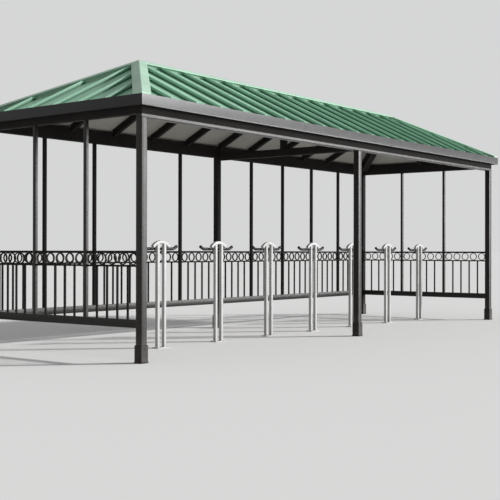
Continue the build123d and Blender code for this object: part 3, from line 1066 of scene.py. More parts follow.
@dataclass
class Walls:
    """Sill rails, mullions and ring-topped fence panels of the back and both ends.

    Attributes:
        long_bays: Bays along the back, half of them each side of the middle post.
        end_bays: Bays at each end.
        post: Side of a post.
        mullion: Side of a mullion.
        sill: Side of a sill rail.
        rings: Rings in a bay, with a baluster between each two.
        top: Height of the panels.
        top_rail: Depth of a panel's top rail.
        lower_rail: Depth of the rail under the rings.
        rail_depth: Thickness of both rails, through the wall.
        ring_band: Height of the band that the rings fill.
        ring_wall: Thickness of a ring's strip.
        ring_depth: Width of a ring's strip, through the wall.
        ring_steps: Sides of a ring.
        baluster: Side of a baluster.
        corner: Radius of the long edges.
        bracket: Length of a saddle.
        bracket_sheet: Thickness of a saddle's sheet.
        bracket_cheek: How far a saddle's cheeks rise beside the rail.
        line_x: How far from the middle the end walls stand.
        line_y: How far behind it the back wall stands.
        sill_box: Lower and upper level of the sill rails.
        header_bottom: Level at which the mullions end.
    """

    long_bays: int = 10
    end_bays: int = 3
    post: float = 0.076
    mullion: float = 0.038
    sill: float = 0.038
    rings: int = 5
    top: float = 1.073
    top_rail: float = 0.025
    lower_rail: float = 0.019
    rail_depth: float = 0.025
    ring_band: float = 0.112
    ring_wall: float = 0.007
    ring_depth: float = 0.022
    baluster: float = 0.019
    corner: float = 0.0025
    ring_steps: int = 40
    bracket: float = 0.030
    bracket_sheet: float = 0.002
    bracket_cheek: float = 0.012
    line_x: float = field(init=False)
    line_y: float = field(init=False)
    sill_box: tuple[float, float] = field(init=False)
    header_bottom: float = field(init=False)

    def __post_init__(self) -> None:
        """Read the lines of the walls and the levels from the frame."""
        low, high = box_of("sill_rails")
        self.line_x = float(high[0] - self.sill / 2)
        self.line_y = float(high[1] - self.sill / 2)
        self.sill_box = (float(low[2]), float(high[2]))
        self.header_bottom = float(box_of("header_back")[0][2])

    def build(self) -> None:
        """Make the walls' rails, uprights and panels."""
        self.add_sills()
        self.add_mullions()
        self.add_panels()

    def add_sills(self) -> None:
        """Make the rails at the foot of the walls, from post to post."""
        low, high = self.sill_box
        half, inner_x, inner_y = self.sill / 2, self.line_x - self.post / 2, self.line_y - self.post / 2
        back = [bar((a, self.line_y - half, low), (b, self.line_y + half, high), self.corner)
                for a, b in ((-inner_x, -self.post / 2), (self.post / 2, inner_x))]
        ends = [bar((x - half, -inner_y, low), (x + half, inner_y, high), self.corner)
                for x in (-self.line_x, self.line_x)]
        add_piece("sill_tubes", joined(back + ends), BRONZE, ("sill_rails",))

    def add_mullions(self) -> None:
        """Make the uprights between the bays, from the sill rails to the headers."""
        half = self.mullion / 2
        upright = bar((-half, -half, self.sill_box[1]), (half, half, self.header_bottom), self.corner)
        back = [(x, self.line_y, 0.0) for x in self.uprights(self.line_x, self.long_bays, True)]
        ends = [(x, y, 0.0) for x in (-self.line_x, self.line_x)
                for y in self.uprights(self.line_y, self.end_bays, False)]
        # The back mullions get the bronze copy that paints shade.
        add_piece("back_mullion_tubes", upright.repeated(back), BRONZE_SHADE_COPY, ("mullions_back",))
        add_piece("end_mullion_tubes", upright.repeated(ends), BRONZE, ("mullions_end",))

    def add_panels(self) -> None:
        """Make the fence panels: one piece each side of the back's middle post, and one an end."""
        bays = self.bays(self.line_x, self.long_bays, True)
        middle = self.long_bays // 2
        # Every fence panel gets the bronze copy that paints shade.
        for name, part in (("fence_back_left", bays[:middle]), ("fence_back_right", bays[middle:])):
            panels = joined([self.panel(low, high) for low, high in part])
            add_piece(f"{name}_panels", panels.moved(0.0, self.line_y, 0.0), BRONZE_SHADE_COPY, (name,))
        across = np.array([[0.0, -1.0, 0.0], [1.0, 0.0, 0.0], [0.0, 0.0, 1.0]])
        end_bays = self.bays(self.line_y, self.end_bays, False)
        panels = joined([self.panel(low, high) for low, high in end_bays]).turned(across)
        for name, x in (("fence_left", -self.line_x), ("fence_right", self.line_x)):
            add_piece(f"{name}_panels", panels.moved(x, 0.0, 0.0), BRONZE_SHADE_COPY, (name,))

    def uprights(self, half: float, bays: int, middle_post: bool) -> list[float]:
        """Places of the mullions along a wall whose corner posts stand at half each way."""
        pitch = 2 * half / bays
        return [-half + i * pitch for i in range(1, bays) if not (middle_post and 2 * i == bays)]

    def bays(self, half: float, bays: int, middle_post: bool) -> list[tuple[float, float]]:
        """Clear stretch of each bay between its uprights.

        Args:
            half: How far each way the corner posts stand.
            bays: How many bays there are.
            middle_post: Whether a post stands in the middle.

        Returns:
            Where each bay's clear stretch begins and ends.
        """
        pitch = 2 * half / bays
        clear = []
        for bay in range(bays):
            beside_post = {0, bays} | ({bays // 2} if middle_post else set())
            widths = [self.post if edge in beside_post else self.mullion for edge in (bay, bay + 1)]
            clear.append((-half + bay * pitch + widths[0] / 2, -half + (bay + 1) * pitch - widths[1] / 2))
        return clear

    def panel(self, low: float, high: float) -> Skin:
        """One bay's panel along X: two rails, its rings, its balusters and its brackets.

        Args:
            low: Where the bay's clear stretch begins.
            high: Where it ends.

        Returns:
            The panel, in the plane of X and Z.
        """
        half = self.rail_depth / 2
        band_top = self.top - self.top_rail
        band_bottom = band_top - self.ring_band
        under = band_bottom - self.lower_rail
        rails = [bar((low, -half, band_top), (high, half, self.top), self.corner),
                 bar((low, -half, under), (high, half, band_bottom), self.corner)]
        step = (high - low) / self.rings
        middle = band_bottom + self.ring_band / 2
        rings = self.ring().repeated([(low + (i + 0.5) * step, 0.0, middle) for i in range(self.rings)])
        edge = self.baluster / 2
        stick = bar((-edge, -edge, self.sill_box[1]), (edge, edge, under), self.corner)
        sticks = stick.repeated([(low + i * step, 0.0, 0.0) for i in range(1, self.rings)])
        brackets = [self.end_bracket(x, side, level) for x, side in ((low, 1), (high, -1))
                    for level in (band_top, under)]
        return joined(rails + [rings, sticks] + brackets)

    def ring(self) -> Skin:
        """Round ring standing in the XZ plane.

        A rounded strip section is carried round a circle: a station lies at the middle radius times
        the cosine and sine of its angle, and the section's first number is along the radius.

        Returns:
            The ring, about nought.
        """
        section = rounded(self.ring_wall, self.ring_depth, 0.002, 2)
        angles = np.linspace(0.0, 2 * np.pi, self.ring_steps, endpoint=False)
        out = np.stack((np.cos(angles), np.zeros_like(angles), np.sin(angles)), axis=-1)
        radius = (self.ring_band - self.ring_wall) / 2 + HAIR
        along = np.broadcast_to(np.array([0.0, 1.0, 0.0]), out.shape)
        return swept(section, radius * out, out, along, loop=True)

    def end_bracket(self, x: float, side: int, level: float) -> Skin:
        """Thin saddle under a rail's end: a tray with a cheek each side of the rail.

        Args:
            x: Where the rail ends.
            side: One where the rail lies past that, or minus one.
            level: Level of the rail's underside.

        Returns:
            The saddle.
        """
        sheet, half = self.bracket_sheet, self.rail_depth / 2 + self.bracket_sheet
        near, far = sorted((x, x + side * self.bracket))
        tray = bar((near, -half, level - sheet), (far, half, level), 0.0008, HAIR)
        cheeks = [bar((near, y - sheet / 2, level - sheet),
                      (far, y + sheet / 2, level + self.bracket_cheek), 0.0006, HAIR)
                  for y in (-half + sheet / 2, half - sheet / 2)]
        return joined([tray] + cheeks)


# Roof


class Side(Enum):
    """The four slopes, each with the plan directions of its eave and of its fall."""

    FRONT = ((1.0, 0.0), (0.0, -1.0))
    BACK = ((-1.0, 0.0), (0.0, 1.0))
    RIGHT = ((0.0, 1.0), (1.0, 0.0))
    LEFT = ((0.0, -1.0), (-1.0, 0.0))

    @property
    def long(self) -> bool:
        """Whether the slope lies along the ridge."""
        return self in (Side.FRONT, Side.BACK)


@dataclass
class Roof:
    """Standing-seam roofing, its caps with their rivets, and the folded fascia.

    A place on a slope is given by its distance along the eave, its run down from the ridge and
    its height above the deck, measured plumb.

    Attributes:
        slope: Fall over run.
        pan: Thickness of the roofing, from the deck to the pan's face.
        rib_pitch: Spacing of the seams.
        rib_height: Height of a seam above the pan.
        rib_width: Width of a seam's folded head.
        web_width: Width of its web.
        shortest_rib: Seams with less than this to show are left out.
        cap_leg: Plan width of a cap each side of its fold.
        cap_top: Height of a cap above the deck, just over the seams.
        cap_lip: Depth of a cap's turned-down edge.
        cap_edge: Bevel at a cap's edges.
        cap_sheet: Thickness of a cap.
        cap_fold: How far a cap's fold is eased to each side.
        closure_setback: How far under a cap's edge the closure strips stand.
        closure_sheet: Thickness of a closure strip.
        fascia_sheet: Thickness of the fascia.
        fascia_step: How far its face lies behind its hem.
        fascia_flange: Width of the flange under it.
        hem: Height of its hemmed lower edge.
        fascia_lengths: Boards along a long side.
        joint: Gap between two boards.
        splice_half: Half the length of the strip behind a joint.
        rivet_pitch: Spacing of the caps' rivets.
        rivet_inset: How far they stand in from an edge.
        rivet_radius: Radius of a rivet's head.
        run: Run from the ridge line to the fascia's face.
        pan_run: Run from the ridge line to the sheets' lower edge.
        ridge_half: Half the length of the ridge.
        ridge_z: Level of the deck at the ridge.
        fascia_span: Lower and upper level of the fascia.
    """

    slope: float = 0.50
    pan: float = 0.004
    rib_pitch: float = 0.381
    rib_height: float = 0.050
    rib_width: float = 0.014
    web_width: float = 0.0075
    shortest_rib: float = 0.060
    cap_leg: float = 0.088
    cap_top: float = 0.064
    cap_lip: float = 0.0085
    cap_edge: float = 0.0025
    cap_sheet: float = 0.0018
    cap_fold: float = 0.006
    closure_setback: float = 0.045
    closure_sheet: float = 0.002
    fascia_sheet: float = 0.0012
    fascia_step: float = 0.0012
    fascia_flange: float = 0.016
    hem: float = 0.014
    fascia_lengths: int = 3
    joint: float = 0.0016
    splice_half: float = 0.03
    rivet_pitch: float = 0.1905
    rivet_inset: float = 0.018
    rivet_radius: float = 0.0048
    run: float = field(init=False)
    pan_run: float = field(init=False)
    ridge_half: float = field(init=False)
    ridge_z: float = field(init=False)
    fascia_span: tuple[float, float] = field(init=False)

    def __post_init__(self) -> None:
        """Read the roof's reach and levels from the frame."""
        low, high = box_of("fascia_front")
        self.run = float(-low[1])
        self.pan_run = float(-box_of("roof_front")[0][1])
        self.ridge_half = float(high[0]) - self.run
        self.fascia_span = (float(low[2]), float(high[2]))
        self.ridge_z = float(box_of("deck_front")[1][2])

    @property
    def closure(self) -> float:
        """Plan distance of a closure strip's outer face from its cap's fold."""
        return self.cap_leg - self.closure_setback

    @property
    def hip_fall(self) -> float:
        """Fall of a hip over its length in plan."""
        return self.slope / ROOT_TWO

    def build(self) -> None:
        """Make the slopes, the fascia and the caps."""
        for side in Side:
            name = side.name.lower()
            pan, seams = self.pan_sheet(side), self.seams(side)
            skin = joined([pan, seams])
            add_piece(f"roof_{name}_sheet", skin, GREEN_SHEET, (f"roof_{name}",),
                      self.surface_map(skin.points, side), self.rise(skin.points, len(pan.points), side))
            add_piece(f"fascia_{name}_boards", self.fascia(side), BRONZE_SHEET, (f"fascia_{name}",))
        rivets = joined([self.ridge_rivets(), self.on_four_hips(self.hip_rivets())])
        for name, skin, nodes in (("ridge_cap_sheet", self.ridge_cap(), ("ridge_cap",)),
                                  ("hip_cap_sheets", self.on_four_hips(self.hip_cap()), ("hip_caps",)),
                                  ("cap_rivets", rivets, ())):
            add_piece(name, skin, GREEN_CAP, nodes, self.surface_map(skin.points, Side.FRONT))

    def placed(self, places: Grid, side: Side) -> Grid:
        """World coordinates of places on a slope.

        The plan is the eave direction times the first number, plus the fall direction times the run,
        from the ridge's end on an end slope. The height falls by the slope times the run.

        Args:
            places: Distance along the eave, run and height, in the last axis.
            side: Which slope.

        Returns:
            X, Y and Z in the last axis.
        """
        along, down = (np.array(direction) for direction in side.value)
        start = 0.0 if side.long else self.ridge_half
        plan = places[..., :1] * along + (places[..., 1:2] + start) * down
        height = self.ridge_z - self.slope * places[..., 1:2] + places[..., 2:]
        return np.concatenate((plan, height), axis=-1)

    def surface_map(self, points: Grid, side: Side) -> Grid:
        """Distances along the eave and down the run of points on a slope."""
        along, down = (np.array(direction) for direction in side.value)
        return np.column_stack((points[:, :2] @ along, points[:, :2] @ down))

    def rise(self, points: Grid, clean: int, side: Side) -> Grid:
        """Height of a slope's points above its pan, plumb, with the first ones held clear of the painted
        shade.

        The pan's own points count as half a metre up, so that only the seams' feet get the painted shade.

        Args:
            points: World coordinates of the points.
            clean: How many of them are the pan's.
            side: Which slope.

        Returns:
            One height for each point.
        """
        _, down = (np.array(direction) for direction in side.value)
        run = points[:, :2] @ down - (0.0 if side.long else self.ridge_half)
        heights = points[:, 2] - (self.ridge_z - self.slope * run) - self.pan
        heights[:clean] = 0.5
        return heights

    def strip(self, start: Grid | float, end: Grid | float, runs: Grid, heights: Grid,
              side: Side) -> Skin:
        """Section of a slope carried along its eave.

        Args:
            start: Where the corners begin along the eave.
            end: Where they end.
            runs: Run of each corner.
            heights: Height of each corner above the deck.
            side: The slope.

        Returns:
            The skin, with both ends flat faces.
        """
        rings = [np.stack(np.broadcast_arrays(x, runs, heights), axis=-1) for x in (start, end)]
        return lofted(self.placed(np.array(rings), side))

    def above_deck(self, levels: Grid, runs: Grid) -> Grid:
        """Heights above the deck of points at levels and runs, plumb."""
        return levels - self.ridge_z + self.slope * runs

    def half_ridge(self, side: Side) -> float:
        """Half the length of a slope's top edge."""
        return self.ridge_half if side.long else 0.0

    def pan_sheet(self, side: Side) -> Skin:
        """Flat sheet of one slope, turned up a little behind the fascia.

        Its rows lie at chosen runs. At each, it reaches as far each way as half the ridge plus the run.

        Args:
            side: Which slope.

        Returns:
            The sheet, in place.
        """
        top, eave, upturn = self.closure - 0.012, self.pan_run - HAIR, self.pan + 0.008
        rows = [(top, self.pan), (eave - 0.012, self.pan), (eave - 0.004, self.pan + 0.002),
                (eave - 0.0012, upturn), (eave, upturn), (eave, HAIR), (top, HAIR)]
        runs, heights = np.array(rows).T
        reach = self.half_ridge(side) + runs
        return self.strip(-reach, reach, runs, heights, side)

    def seam_lines(self, side: Side) -> list[float]:
        """Places of a slope's seams: a pan lies at the middle of a long side, and a seam at an end's.

        Args:
            side: Which slope.

        Returns:
            Distances along the eave, in order.
        """
        half_eave = self.half_ridge(side) + self.run
        first = self.rib_pitch / 2 if side.long else self.rib_pitch
        lines = list(np.arange(first, half_eave, self.rib_pitch))
        return sorted([-x for x in lines] + ([] if side.long else [0.0]) + lines)

    def seams(self, side: Side) -> Skin:
        """Every seam of a slope, from the fascia up to the closure under its cap.

        The section is a web with a flared foot under a wider folded head, carried up the slope.

        Args:
            side: Which slope.

        Returns:
            The seams, in place.
        """
        foot, web, head = self.web_width / 2 + 0.004, self.web_width / 2, self.rib_width / 2
        pan, top = self.pan, self.pan + self.rib_height
        chin = pan + 0.42 * self.rib_height
        right = [(foot, pan - HAIR), (foot, pan + 0.0006), (web + 0.001, pan + 0.002), (web, pan + 0.004),
                 (web, chin), (head, chin + 0.0012), (head, top - 0.003), (head - 0.001, top - 0.001),
                 (head - 0.003, top)]
        across, upward = np.array(right + [(-x, h) for x, h in reversed(right)]).T
        drops = np.array([[0.001], [0.0], [0.0], [0.003]])
        heights = np.where(upward > chin, upward - drops, upward)
        end = self.pan_run - HAIR
        skins = []
        for x in self.seam_lines(side):
            past = max(0.0, abs(x) + head - self.half_ridge(side))
            stretch = ROOT_TWO if past else 1.0
            start = past + stretch * self.closure + HAIR
            if self.pan_run - start - stretch * self.closure_setback <= self.shortest_rib:
                continue
            runs = np.array([[start], [start + 0.002], [end - 0.004], [end]])
            rings = np.stack(np.broadcast_arrays(x + across, runs, heights), axis=-1)
            skins.append(lofted(self.placed(rings, side)))
        return joined(skins)

    def cap_profile(self, fall: float) -> Grid:
        """Section of a cap: a folded sheet with both edges turned down over the seams.

        Args:
            fall: How fast the cap falls to each side of its fold.

        Returns:
            Distance from the fold and height above the fold's line on the deck, corner by corner.
            The outer skin goes over the fold, and the inner skin comes back a sheet's thickness in.
        """
        leg, top, sheet, edge = self.cap_leg, self.cap_top, self.cap_sheet, self.cap_edge
        fold, lip = self.cap_fold, top - self.cap_lip
        skin = [(leg, lip), (leg, top - edge), (leg - edge / 3, top - edge / 3), (leg - edge, top),
                (fold, top), (fold / 2, top + HAIR)]
        inner = [(fold, top - sheet), (leg - edge - sheet, top - sheet), (leg - sheet, top - edge - sheet),
                 (leg - sheet, lip)]
        outer = [(-x, h) for x, h in skin] + skin[::-1]
        back = inner[::-1] + [(-x, h) for x, h in inner]
        off, height = np.array(outer + back).T
        easing = fall * fold / 4 * np.exp(-((off / fold) ** 2))
        return np.column_stack((off, height - fall * np.abs(off) - easing))

    def closure_profile(self, fall: float, side: int) -> Grid:
        """Section of a closure strip on one side of a fold, upright from the pan to the cap.

        Args:
            fall: How fast the cap falls to each side of its fold.
            side: One or minus one, for the side of the fold.

        Returns:
            Distance from the fold and height above its line, corner by corner.
        """
        near, top = self.closure, self.cap_top - self.cap_sheet
        back = near - self.closure_sheet
        off, height = np.array([(near, self.pan), (near, top), (back, top), (back, self.pan)]).T
        return np.column_stack((side * off, height - fall * off))

    def cap_sections(self, fall: float) -> list[Grid]:
        """Sections of a cap and of the closure strips under both its legs."""
        return [self.cap_profile(fall)] + [self.closure_profile(fall, side) for side in (-1, 1)]

    def ridge_cap(self) -> Skin:
        """Cap and closures along the ridge, to the planes where the hip caps begin.

        Returns:
            The cap and both closures, in place.
        """
        origins = np.array([(x, 0.0, self.ridge_z) for x in (-self.ridge_half, self.ridge_half)])
        sides = np.array([(0.0, 1.0, 0.0)] * 2)
        ups = np.array([(0.0, 0.0, 1.0)] * 2)
        return joined([swept(section, origins, sides, ups) for section in self.cap_sections(self.slope)])

    def hip_point(self, along: Grid, off: Grid | float, height: Grid | float) -> Grid:
        """World coordinates of places about the front right hip.

        The hip runs from the ridge's end at 45 degrees. A place lies some way along it in plan, some
        way off it square to it, and some height above the line where the deck's hip falls.

        Args:
            along: Distances along the hip in plan.
            off: Distances square to it.
            height: Heights above the hip's line.

        Returns:
            X, Y and Z in the last axis.
        """
        along, off, height = np.broadcast_arrays(along, off, height)
        x = self.ridge_half + (along - off) / ROOT_TWO
        y = -(along + off) / ROOT_TWO
        return np.stack((x, y, self.ridge_z - self.slope * along / ROOT_TWO + height), axis=-1)

    def hip_cap(self) -> Skin:
        """Cap and closures over the front right hip, mitred at the ridge's end and at the eave corner.

        A corner of a section that lies off the hip starts as far along it as it lies off, and
        stops that much before the fascia's corner, so both ends are cut along the slopes' edges.

        Returns:
            The cap, its closures and its foot plates, in place.
        """
        skins = []
        for section in self.cap_sections(self.hip_fall):
            off, height = section.T
            ends = np.stack((np.abs(off), ROOT_TWO * (self.pan_run - HAIR) - np.abs(off)))
            skins.append(lofted(self.hip_point(ends, off, height)))
        return joined(skins + [self.foot_plate(side) for side in (-1.0, 1.0)])

    def foot_plate(self, side: float) -> Skin:
        """Upright plate that closes one half of a hip cap's foot, along the fascia.

        A corner that lies off the hip stands that much before the fascia's corner, as the cap's own
        end does, and the plate's back lies one sheet's thickness behind its face.

        Args:
            side: One or minus one, for the side of the hip.

        Returns:
            The plate, in place.
        """
        leg, top = self.cap_leg - self.cap_sheet, self.cap_top - HAIR
        off, height = np.array([(0.0, self.pan), (leg, self.pan), (leg, top), (0.0, top)]).T
        face = ROOT_TWO * (self.pan_run - 2 * HAIR) - off
        along = np.stack((face, face - ROOT_TWO * self.cap_sheet))
        return lofted(self.hip_point(along, side * off, height - self.hip_fall * off))

    def on_four_hips(self, skin: Skin) -> Skin:
        """A front right hip's piece, mirrored onto all four hips."""
        return joined([skin.mirrored(x, y) for y in (1.0, -1.0) for x in (1.0, -1.0)])

    def rivet(self) -> Skin:
        """Low domed rivet head, standing on nought.

        Returns:
            The rivet's head.
        """
        r = self.rivet_radius
        return turned_about_z([(r, -0.0008), (r, 0.0004), (0.85 * r, 0.0014), (0.5 * r, 0.0022),
                               (0.1 * r, 0.0024)], 10)

    def ridge_rivets(self) -> Skin:
        """Rivets along both legs of the ridge cap, evenly about its middle.

        Returns:
            The rivets, in place.
        """
        count = int((self.ridge_half - self.rivet_inset) / self.rivet_pitch)
        places = self.rivet_pitch * np.arange(-count, count + 1)
        off = self.cap_leg - self.rivet_inset
        height = self.ridge_z + self.cap_top - self.slope * off
        return self.rivet().repeated([(x, sign * off, height) for x in places for sign in (-1, 1)])

    def hip_rivets(self) -> Skin:
        """Rivets along both legs of the front right hip cap.

        Returns:
            The rivets, in place.
        """
        off = self.cap_leg - self.rivet_inset
        first = off + self.rivet_inset
        count = int((ROOT_TWO * self.pan_run - 2 * first) / self.rivet_pitch)
        along = first + self.rivet_pitch / 2 + self.rivet_pitch * np.arange(count)
        places = [self.hip_point(along, sign * off, self.cap_top - self.hip_fall * off)
                  for sign in (-1.0, 1.0)]
        return self.rivet().repeated(np.concatenate(places))

    def fascia(self, side: Side) -> Skin:
        """Folded fascia of one side, mitred at its corners and butted in lengths.

        Its section goes up the face from a hemmed lower edge, over a folded upper edge, and back
        down the inside. Each corner of the section reaches as far as half the ridge plus its own
        run, which mitres the ends at 45 degrees.

        Args:
            side: Which slope.

        Returns:
            The boards and the strips behind their joints, in place.
        """
        face, sheet, fold = self.run - self.fascia_step, self.fascia_sheet, self.pan_run
        low, top = self.fascia_span[0] + HAIR, self.fascia_span[1] - HAIR
        back, front, flange = face - sheet, self.run - HAIR / 2, face - self.fascia_flange
        eased, hem = self.run - 0.001, low + self.hem
        section = [(flange, low), (eased, low), (front, low + 0.001), (front, hem - 0.001), (eased, hem),
                   (face, hem + 0.0006), (face, top - 0.001), (face - 0.0006, top), (fold + 0.0006, top),
                   (fold, top - 0.001), (fold, top - 0.012), (back, top - 0.013), (back, low + sheet),
                   (flange, low + sheet)]
        runs, levels = np.array(section).T
        heights = self.above_deck(levels, runs)
        reach = self.half_ridge(side) + runs
        lengths = self.fascia_lengths if side.long else 1
        edges = np.linspace(-1.0, 1.0, lengths + 1) * (self.half_ridge(side) + self.run)
        starts = [-reach, *(edges[1:-1] + self.joint / 2)]
        ends = [*(edges[1:-1] - self.joint / 2), reach]
        boards = [self.strip(start, end, runs, heights, side) for start, end in zip(starts, ends)]
        return joined(boards + [self.splice(edge, side) for edge in edges[1:-1]])

    def splice(self, place: float, side: Side) -> Skin:
        """Strip behind a joint of the fascia.

        Args:
            place: Where the joint lies along the eave.
            side: Which slope.

        Returns:
            The strip, in place.
        """
        near = self.run - self.fascia_step - self.fascia_sheet
        far = near - self.fascia_sheet
        low, top = self.fascia_span[0] + 0.003, self.fascia_span[1] - 0.015
        runs, levels = np.array([(near, low), (near, top), (far, top), (far, low)]).T
        return self.strip(place - self.splice_half, place + self.splice_half, runs,
                          self.above_deck(levels, runs), side)


# Bike racks


@dataclass
class Racks:
    """Seven bike racks: two tubes on a bolted base plate, an arched top and a bar with rubber grips.

    Attributes:
        count: How many racks there are.
        tube: Side of the square tubes.
        corner: Radius of their long edges.
        spacing: Distance between the two tubes.
        arch_radius: Outer radius of the arched top.
        arch_span: Width over its lower tips.
        arch_steps: Stations along it between the tips.
        arch_corner: Radius of the long edges of the arch and of the arm bar.
        arm_bar: Thickness of the arm bar.
        arm_height: Height of the bar's straight middle.
        arm_flat: Length of that middle.
        arm_bend_radius: Radius of its bends.
        arm_bend_angle: How far each arm turns up, in degrees.
        arm_span: Width over both grips.
        grip: Diameter of the knob that ends a grip.
        grip_sleeve: Diameter of the rubber sleeve along the bar.
        grip_start: How far from the middle the sleeve starts.
        groove_pitch: Spacing of the sleeve's grooves.
        groove_depth: Their depth.
        groove_steps: Stations of the sleeve for each groove.
        strap: Half the width of a clamp's strap, and the height of each of its feet.
        strap_sheet: Thickness of the strap.
        plate: Length, width and thickness of the base plate.
        plate_corner: Radius of its corners.
        anchor_spacing: Distance between the two anchor bolts.
        weld: Size of the weld fillets.
    """

    count: int = 7
    tube: float = 0.038
    corner: float = 0.005
    spacing: float = 0.106
    arch_radius: float = 0.205
    arch_span: float = 0.290
    arch_steps: int = 28
    arch_corner: float = 0.008
    arm_bar: float = 0.022
    arm_height: float = 1.095
    arm_flat: float = 0.420
    arm_bend_radius: float = 0.120
    arm_bend_angle: float = 28.0
    arm_span: float = 0.612
    grip: float = 0.038
    grip_sleeve: float = 0.035
    grip_start: float = 0.100
    groove_pitch: float = 0.012
    groove_depth: float = 0.0007
    groove_steps: int = 6
    strap: float = 0.012
    strap_sheet: float = 0.003
    plate: tuple[float, float, float] = (0.200, 0.096, 0.008)
    plate_corner: float = 0.012
    anchor_spacing: float = 0.172
    weld: float = 0.006

    def build(self) -> None:
        """Make each rack's steel, and all the arms, grips, clamps and anchors."""
        steel = joined([self.base_plate(), self.tubes(), self.arch(), self.welds()])
        nodes = [f"rack_{number}" for number in range(1, self.count + 1)]
        places = [middle_of(node) for node in nodes]
        for node, place in zip(nodes, places):
            add_piece(f"{node}_frame", steel.moved(*place), STEEL, (node,))
        arm, grip = self.arm(), self.grips()
        for name, skin, finish, replaced in (
                ("rack_arm_bars", joined([arm, arm.mirrored(-1.0, 1.0)]), RUBBER, ("rack_arms",)),
                ("rack_grips", joined([grip, grip.mirrored(-1.0, 1.0)]), RUBBER, ()),
                ("rack_arm_clamps", self.clamps(), STEEL, ()),
                ("rack_anchors", self.anchors(), ZINC, ())):
            add_piece(name, skin.repeated(places), finish, replaced)

    def top_z(self) -> float:
        """Height of the arch's centre of curvature."""
        return float(box_of("rack_1")[1][2]) - self.arch_radius

    def base_plate(self) -> Skin:
        """Base plate with round corners and an eased upper edge.

        Returns:
            The plate.
        """
        length, width, thick = self.plate
        levels = ((0.0, 0.0), (0.0, thick - 0.0015), (0.0005, thick - 0.0004), (0.0015, thick))
        return lofted(np.array([level_ring(length - 2 * cut, width - 2 * cut, self.plate_corner - cut,
                                           height, 5) for cut, height in levels]))

    def tubes(self) -> Skin:
        """Both tubes, from the plate up into the arch's middle line.

        Returns:
            The tubes.
        """
        half = self.tube / 2
        reach = math.sqrt((self.arch_radius - half) ** 2 - (self.spacing / 2) ** 2)
        tube = bar((-half, HAIR - half, self.plate[2] - HAIR), (half, half - HAIR, self.top_z() + reach),
                   self.corner, HAIR)
        return tube.paired(self.spacing)

    def arch(self) -> Skin:
        """Arched top: a rounded square section carried along an arc, drawn in at both tips.

        A station lies at the middle radius times the sine and cosine of its angle from upright. Both
        of the section's numbers are multiplied by its easing, which is less than one at the tips.

        Returns:
            The arch.
        """
        half_angle = math.asin(self.arch_span / 2 / self.arch_radius)
        tip = half_angle - 0.004 / self.arch_radius
        angles = np.array([-half_angle, *np.linspace(-tip, tip, self.arch_steps), half_angle])
        out = np.stack((np.sin(angles), np.zeros_like(angles), np.cos(angles)), axis=-1)
        origins = (self.arch_radius - self.tube / 2) * out + np.array([0.0, 0.0, self.top_z()])
        easing = np.ones((len(angles), 1))
        easing[[0, -1]] = 0.8
        across = easing * np.array([0.0, 1.0, 0.0])
        return swept(rounded(self.tube, self.tube, self.arch_corner, 4), origins, easing * out, across)

    def welds(self) -> Skin:
        """Hollow weld fillets round both tubes at the plate.

        Returns:
            The fillets.
        """
        half, base, size = self.tube / 2, self.plate[2], self.weld
        collar = square_collar([(half + size, base), (half + 0.5 * size, base + 0.22 * size),
                                (half + 0.22 * size, base + 0.5 * size), (half, base + size),
                                (half - 0.002, base + size), (half - 0.002, base)], self.corner + size)
        return collar.paired(self.spacing)

    def arm_path(self) -> tuple[Grid, Grid]:
        """Points and directions of the right half of the arm bar, in the plane of X and Z.

        It runs straight from the middle, turns up along an arc and runs straight to the knob's middle.

        Returns:
            One row of X and Z for each point, and as many directions.
        """
        angles = np.radians(np.linspace(0.0, self.arm_bend_angle, 15))
        bend = np.stack((self.arm_flat / 2 + self.arm_bend_radius * np.sin(angles),
                         self.arm_height + self.arm_bend_radius * (1 - np.cos(angles))), axis=-1)
        turned = np.stack((np.cos(angles), np.sin(angles)), axis=-1)
        tip_x = self.arm_span / 2 - self.grip / 2
        tip = bend[-1] + turned[-1] * (tip_x - bend[-1, 0]) / turned[-1, 0]
        points = np.concatenate(([(0.0, self.arm_height)], bend, [tip]))
        directions = np.concatenate((turned[:1], turned, turned[-1:]))
        return points, directions

    def arm_y(self) -> float:
        """How far behind the tubes' middle the arm bar lies."""
        return self.tube / 2 + self.arm_bar / 2

    def arm(self) -> Skin:
        """Right half of the arm bar, a rounded section carried along its path.

        Returns:
            Half the bar.
        """
        points, directions = self.arm_path()
        origins = np.column_stack((points[:, 0], np.full(len(points), self.arm_y()), points[:, 1]))
        ups = np.column_stack((-directions[:, 1], np.zeros(len(points)), directions[:, 0]))
        sides = np.broadcast_to(np.array([0.0, 1.0, 0.0]), ups.shape)
        return swept(rounded(self.arm_bar, self.arm_bar, self.arch_corner, 4), origins, sides, ups)

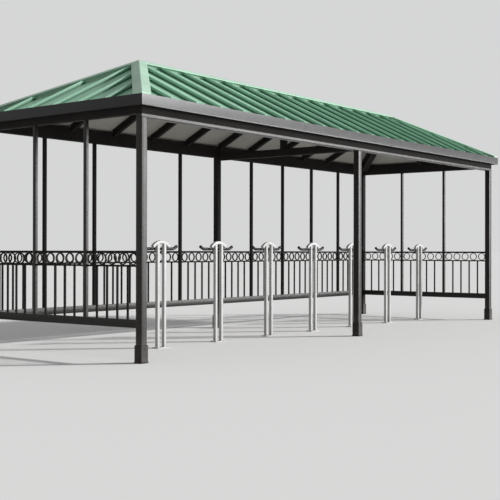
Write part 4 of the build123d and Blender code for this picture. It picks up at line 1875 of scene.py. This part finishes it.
    def grips(self) -> Skin:
        """Right grip: a grooved rubber sleeve along the bar, with a round knob at its end.

        Its stations lie along the bar's path. The sleeve's radius dips by the groove's depth times the
        squared sine of the way along, and the knob's is its own radius times the cosine of the angle
        from its middle, wherever that is the larger.

        Returns:
            The grip.
        """
        points, directions = self.arm_path()
        steps = np.linalg.norm(np.diff(points, axis=0), axis=1)
        lengths = np.concatenate(([0.0], np.cumsum(steps)))
        knob, sleeve, middle = self.grip / 2, self.grip_sleeve / 2, lengths[-1]
        join = math.acos(sleeve / knob)
        turn = np.linspace(-join, math.radians(86.0), 12)
        begin, finish = self.grip_start, middle - knob * math.sin(join)
        stations = int(self.groove_steps * (finish - begin) / self.groove_pitch)
        run = np.linspace(begin + self.groove_pitch / 4, finish, stations, endpoint=False)
        dips = self.groove_depth * np.sin(np.pi * (run - begin) / self.groove_pitch) ** 2
        places = np.concatenate(([begin, begin + 0.001], run, middle + knob * np.sin(turn)))
        radii = np.concatenate(([0.72 * sleeve, 0.92 * sleeve], sleeve - dips, knob * np.cos(turn)))
        inside = np.minimum(places, middle)
        angles = np.interp(inside, lengths, np.arctan2(directions[:, 1], directions[:, 0]))
        past = places - inside
        x = np.interp(inside, lengths, points[:, 0]) + past * np.cos(angles)
        z = np.interp(inside, lengths, points[:, 1]) + past * np.sin(angles)
        round_it = np.linspace(0.0, 2 * np.pi, 20, endpoint=False)
        upward = radii[:, None] * np.sin(round_it)
        rings = np.stack((x[:, None] - upward * np.sin(angles)[:, None],
                          self.arm_y() + radii[:, None] * np.cos(round_it),
                          z[:, None] + upward * np.cos(angles)[:, None]), axis=-1)
        return lofted(rings)

    def clamps(self) -> Skin:
        """Flat straps that hold the arm bar to the back of both tubes, each on two feet.

        Returns:
            The clamps of one rack.
        """
        half, face = self.strap, self.tube / 2
        reach = self.arm_bar / 2 + self.strap
        low, high = self.arm_height - reach, self.arm_height + reach
        out = face + self.arm_bar
        top = out + self.strap_sheet
        strap = bar((-half, out - HAIR, low), (half, top, high), 0.001, 0.001)
        feet = [bar((-half, face - HAIR, z), (half, top, z + self.strap), 0.001, 0.001)
                for z in (low, high - self.strap)]
        return joined([strap] + feet).paired(self.spacing)

    def anchors(self) -> Skin:
        """Washer, hexagon nut and stud end over each anchor hole.

        Each is turned from an outline of radii and heights above the plate, and the nut has six sides.

        Returns:
            The fasteners of one rack.
        """
        base = self.plate[2] - HAIR
        washer = [(0.0115, 0.0), (0.0115, 0.0016), (0.0105, 0.0022), (0.002, 0.0022)]
        nut = [(0.0098, 0.002), (0.0104, 0.003), (0.0104, 0.0095), (0.0094, 0.0108), (0.002, 0.0108)]
        stud = [(0.0058, 0.0), (0.0058, 0.0170), (0.0048, 0.0182), (0.0010, 0.0182)]
        anchor = joined([turned_about_z(washer, 24), turned_about_z(nut, 6, 15.0),
                         turned_about_z(stud, 16)])
        return anchor.moved(0.0, 0.0, base).paired(self.anchor_spacing)


def main() -> None:
    """Build the view, the light and every piece of the shelter."""
    logging.basicConfig(level=logging.INFO, format="%(name)s %(message)s")
    bpy.context.scene.view_settings.view_transform = "Standard"
    Viewpoint().build()
    Studio().build()
    for part in (Posts(), Beams(), Walls(), Roof(), Racks()):
        log.info("building %s", type(part).__name__)
        part.build()


if __name__ == "__main__":
    main()
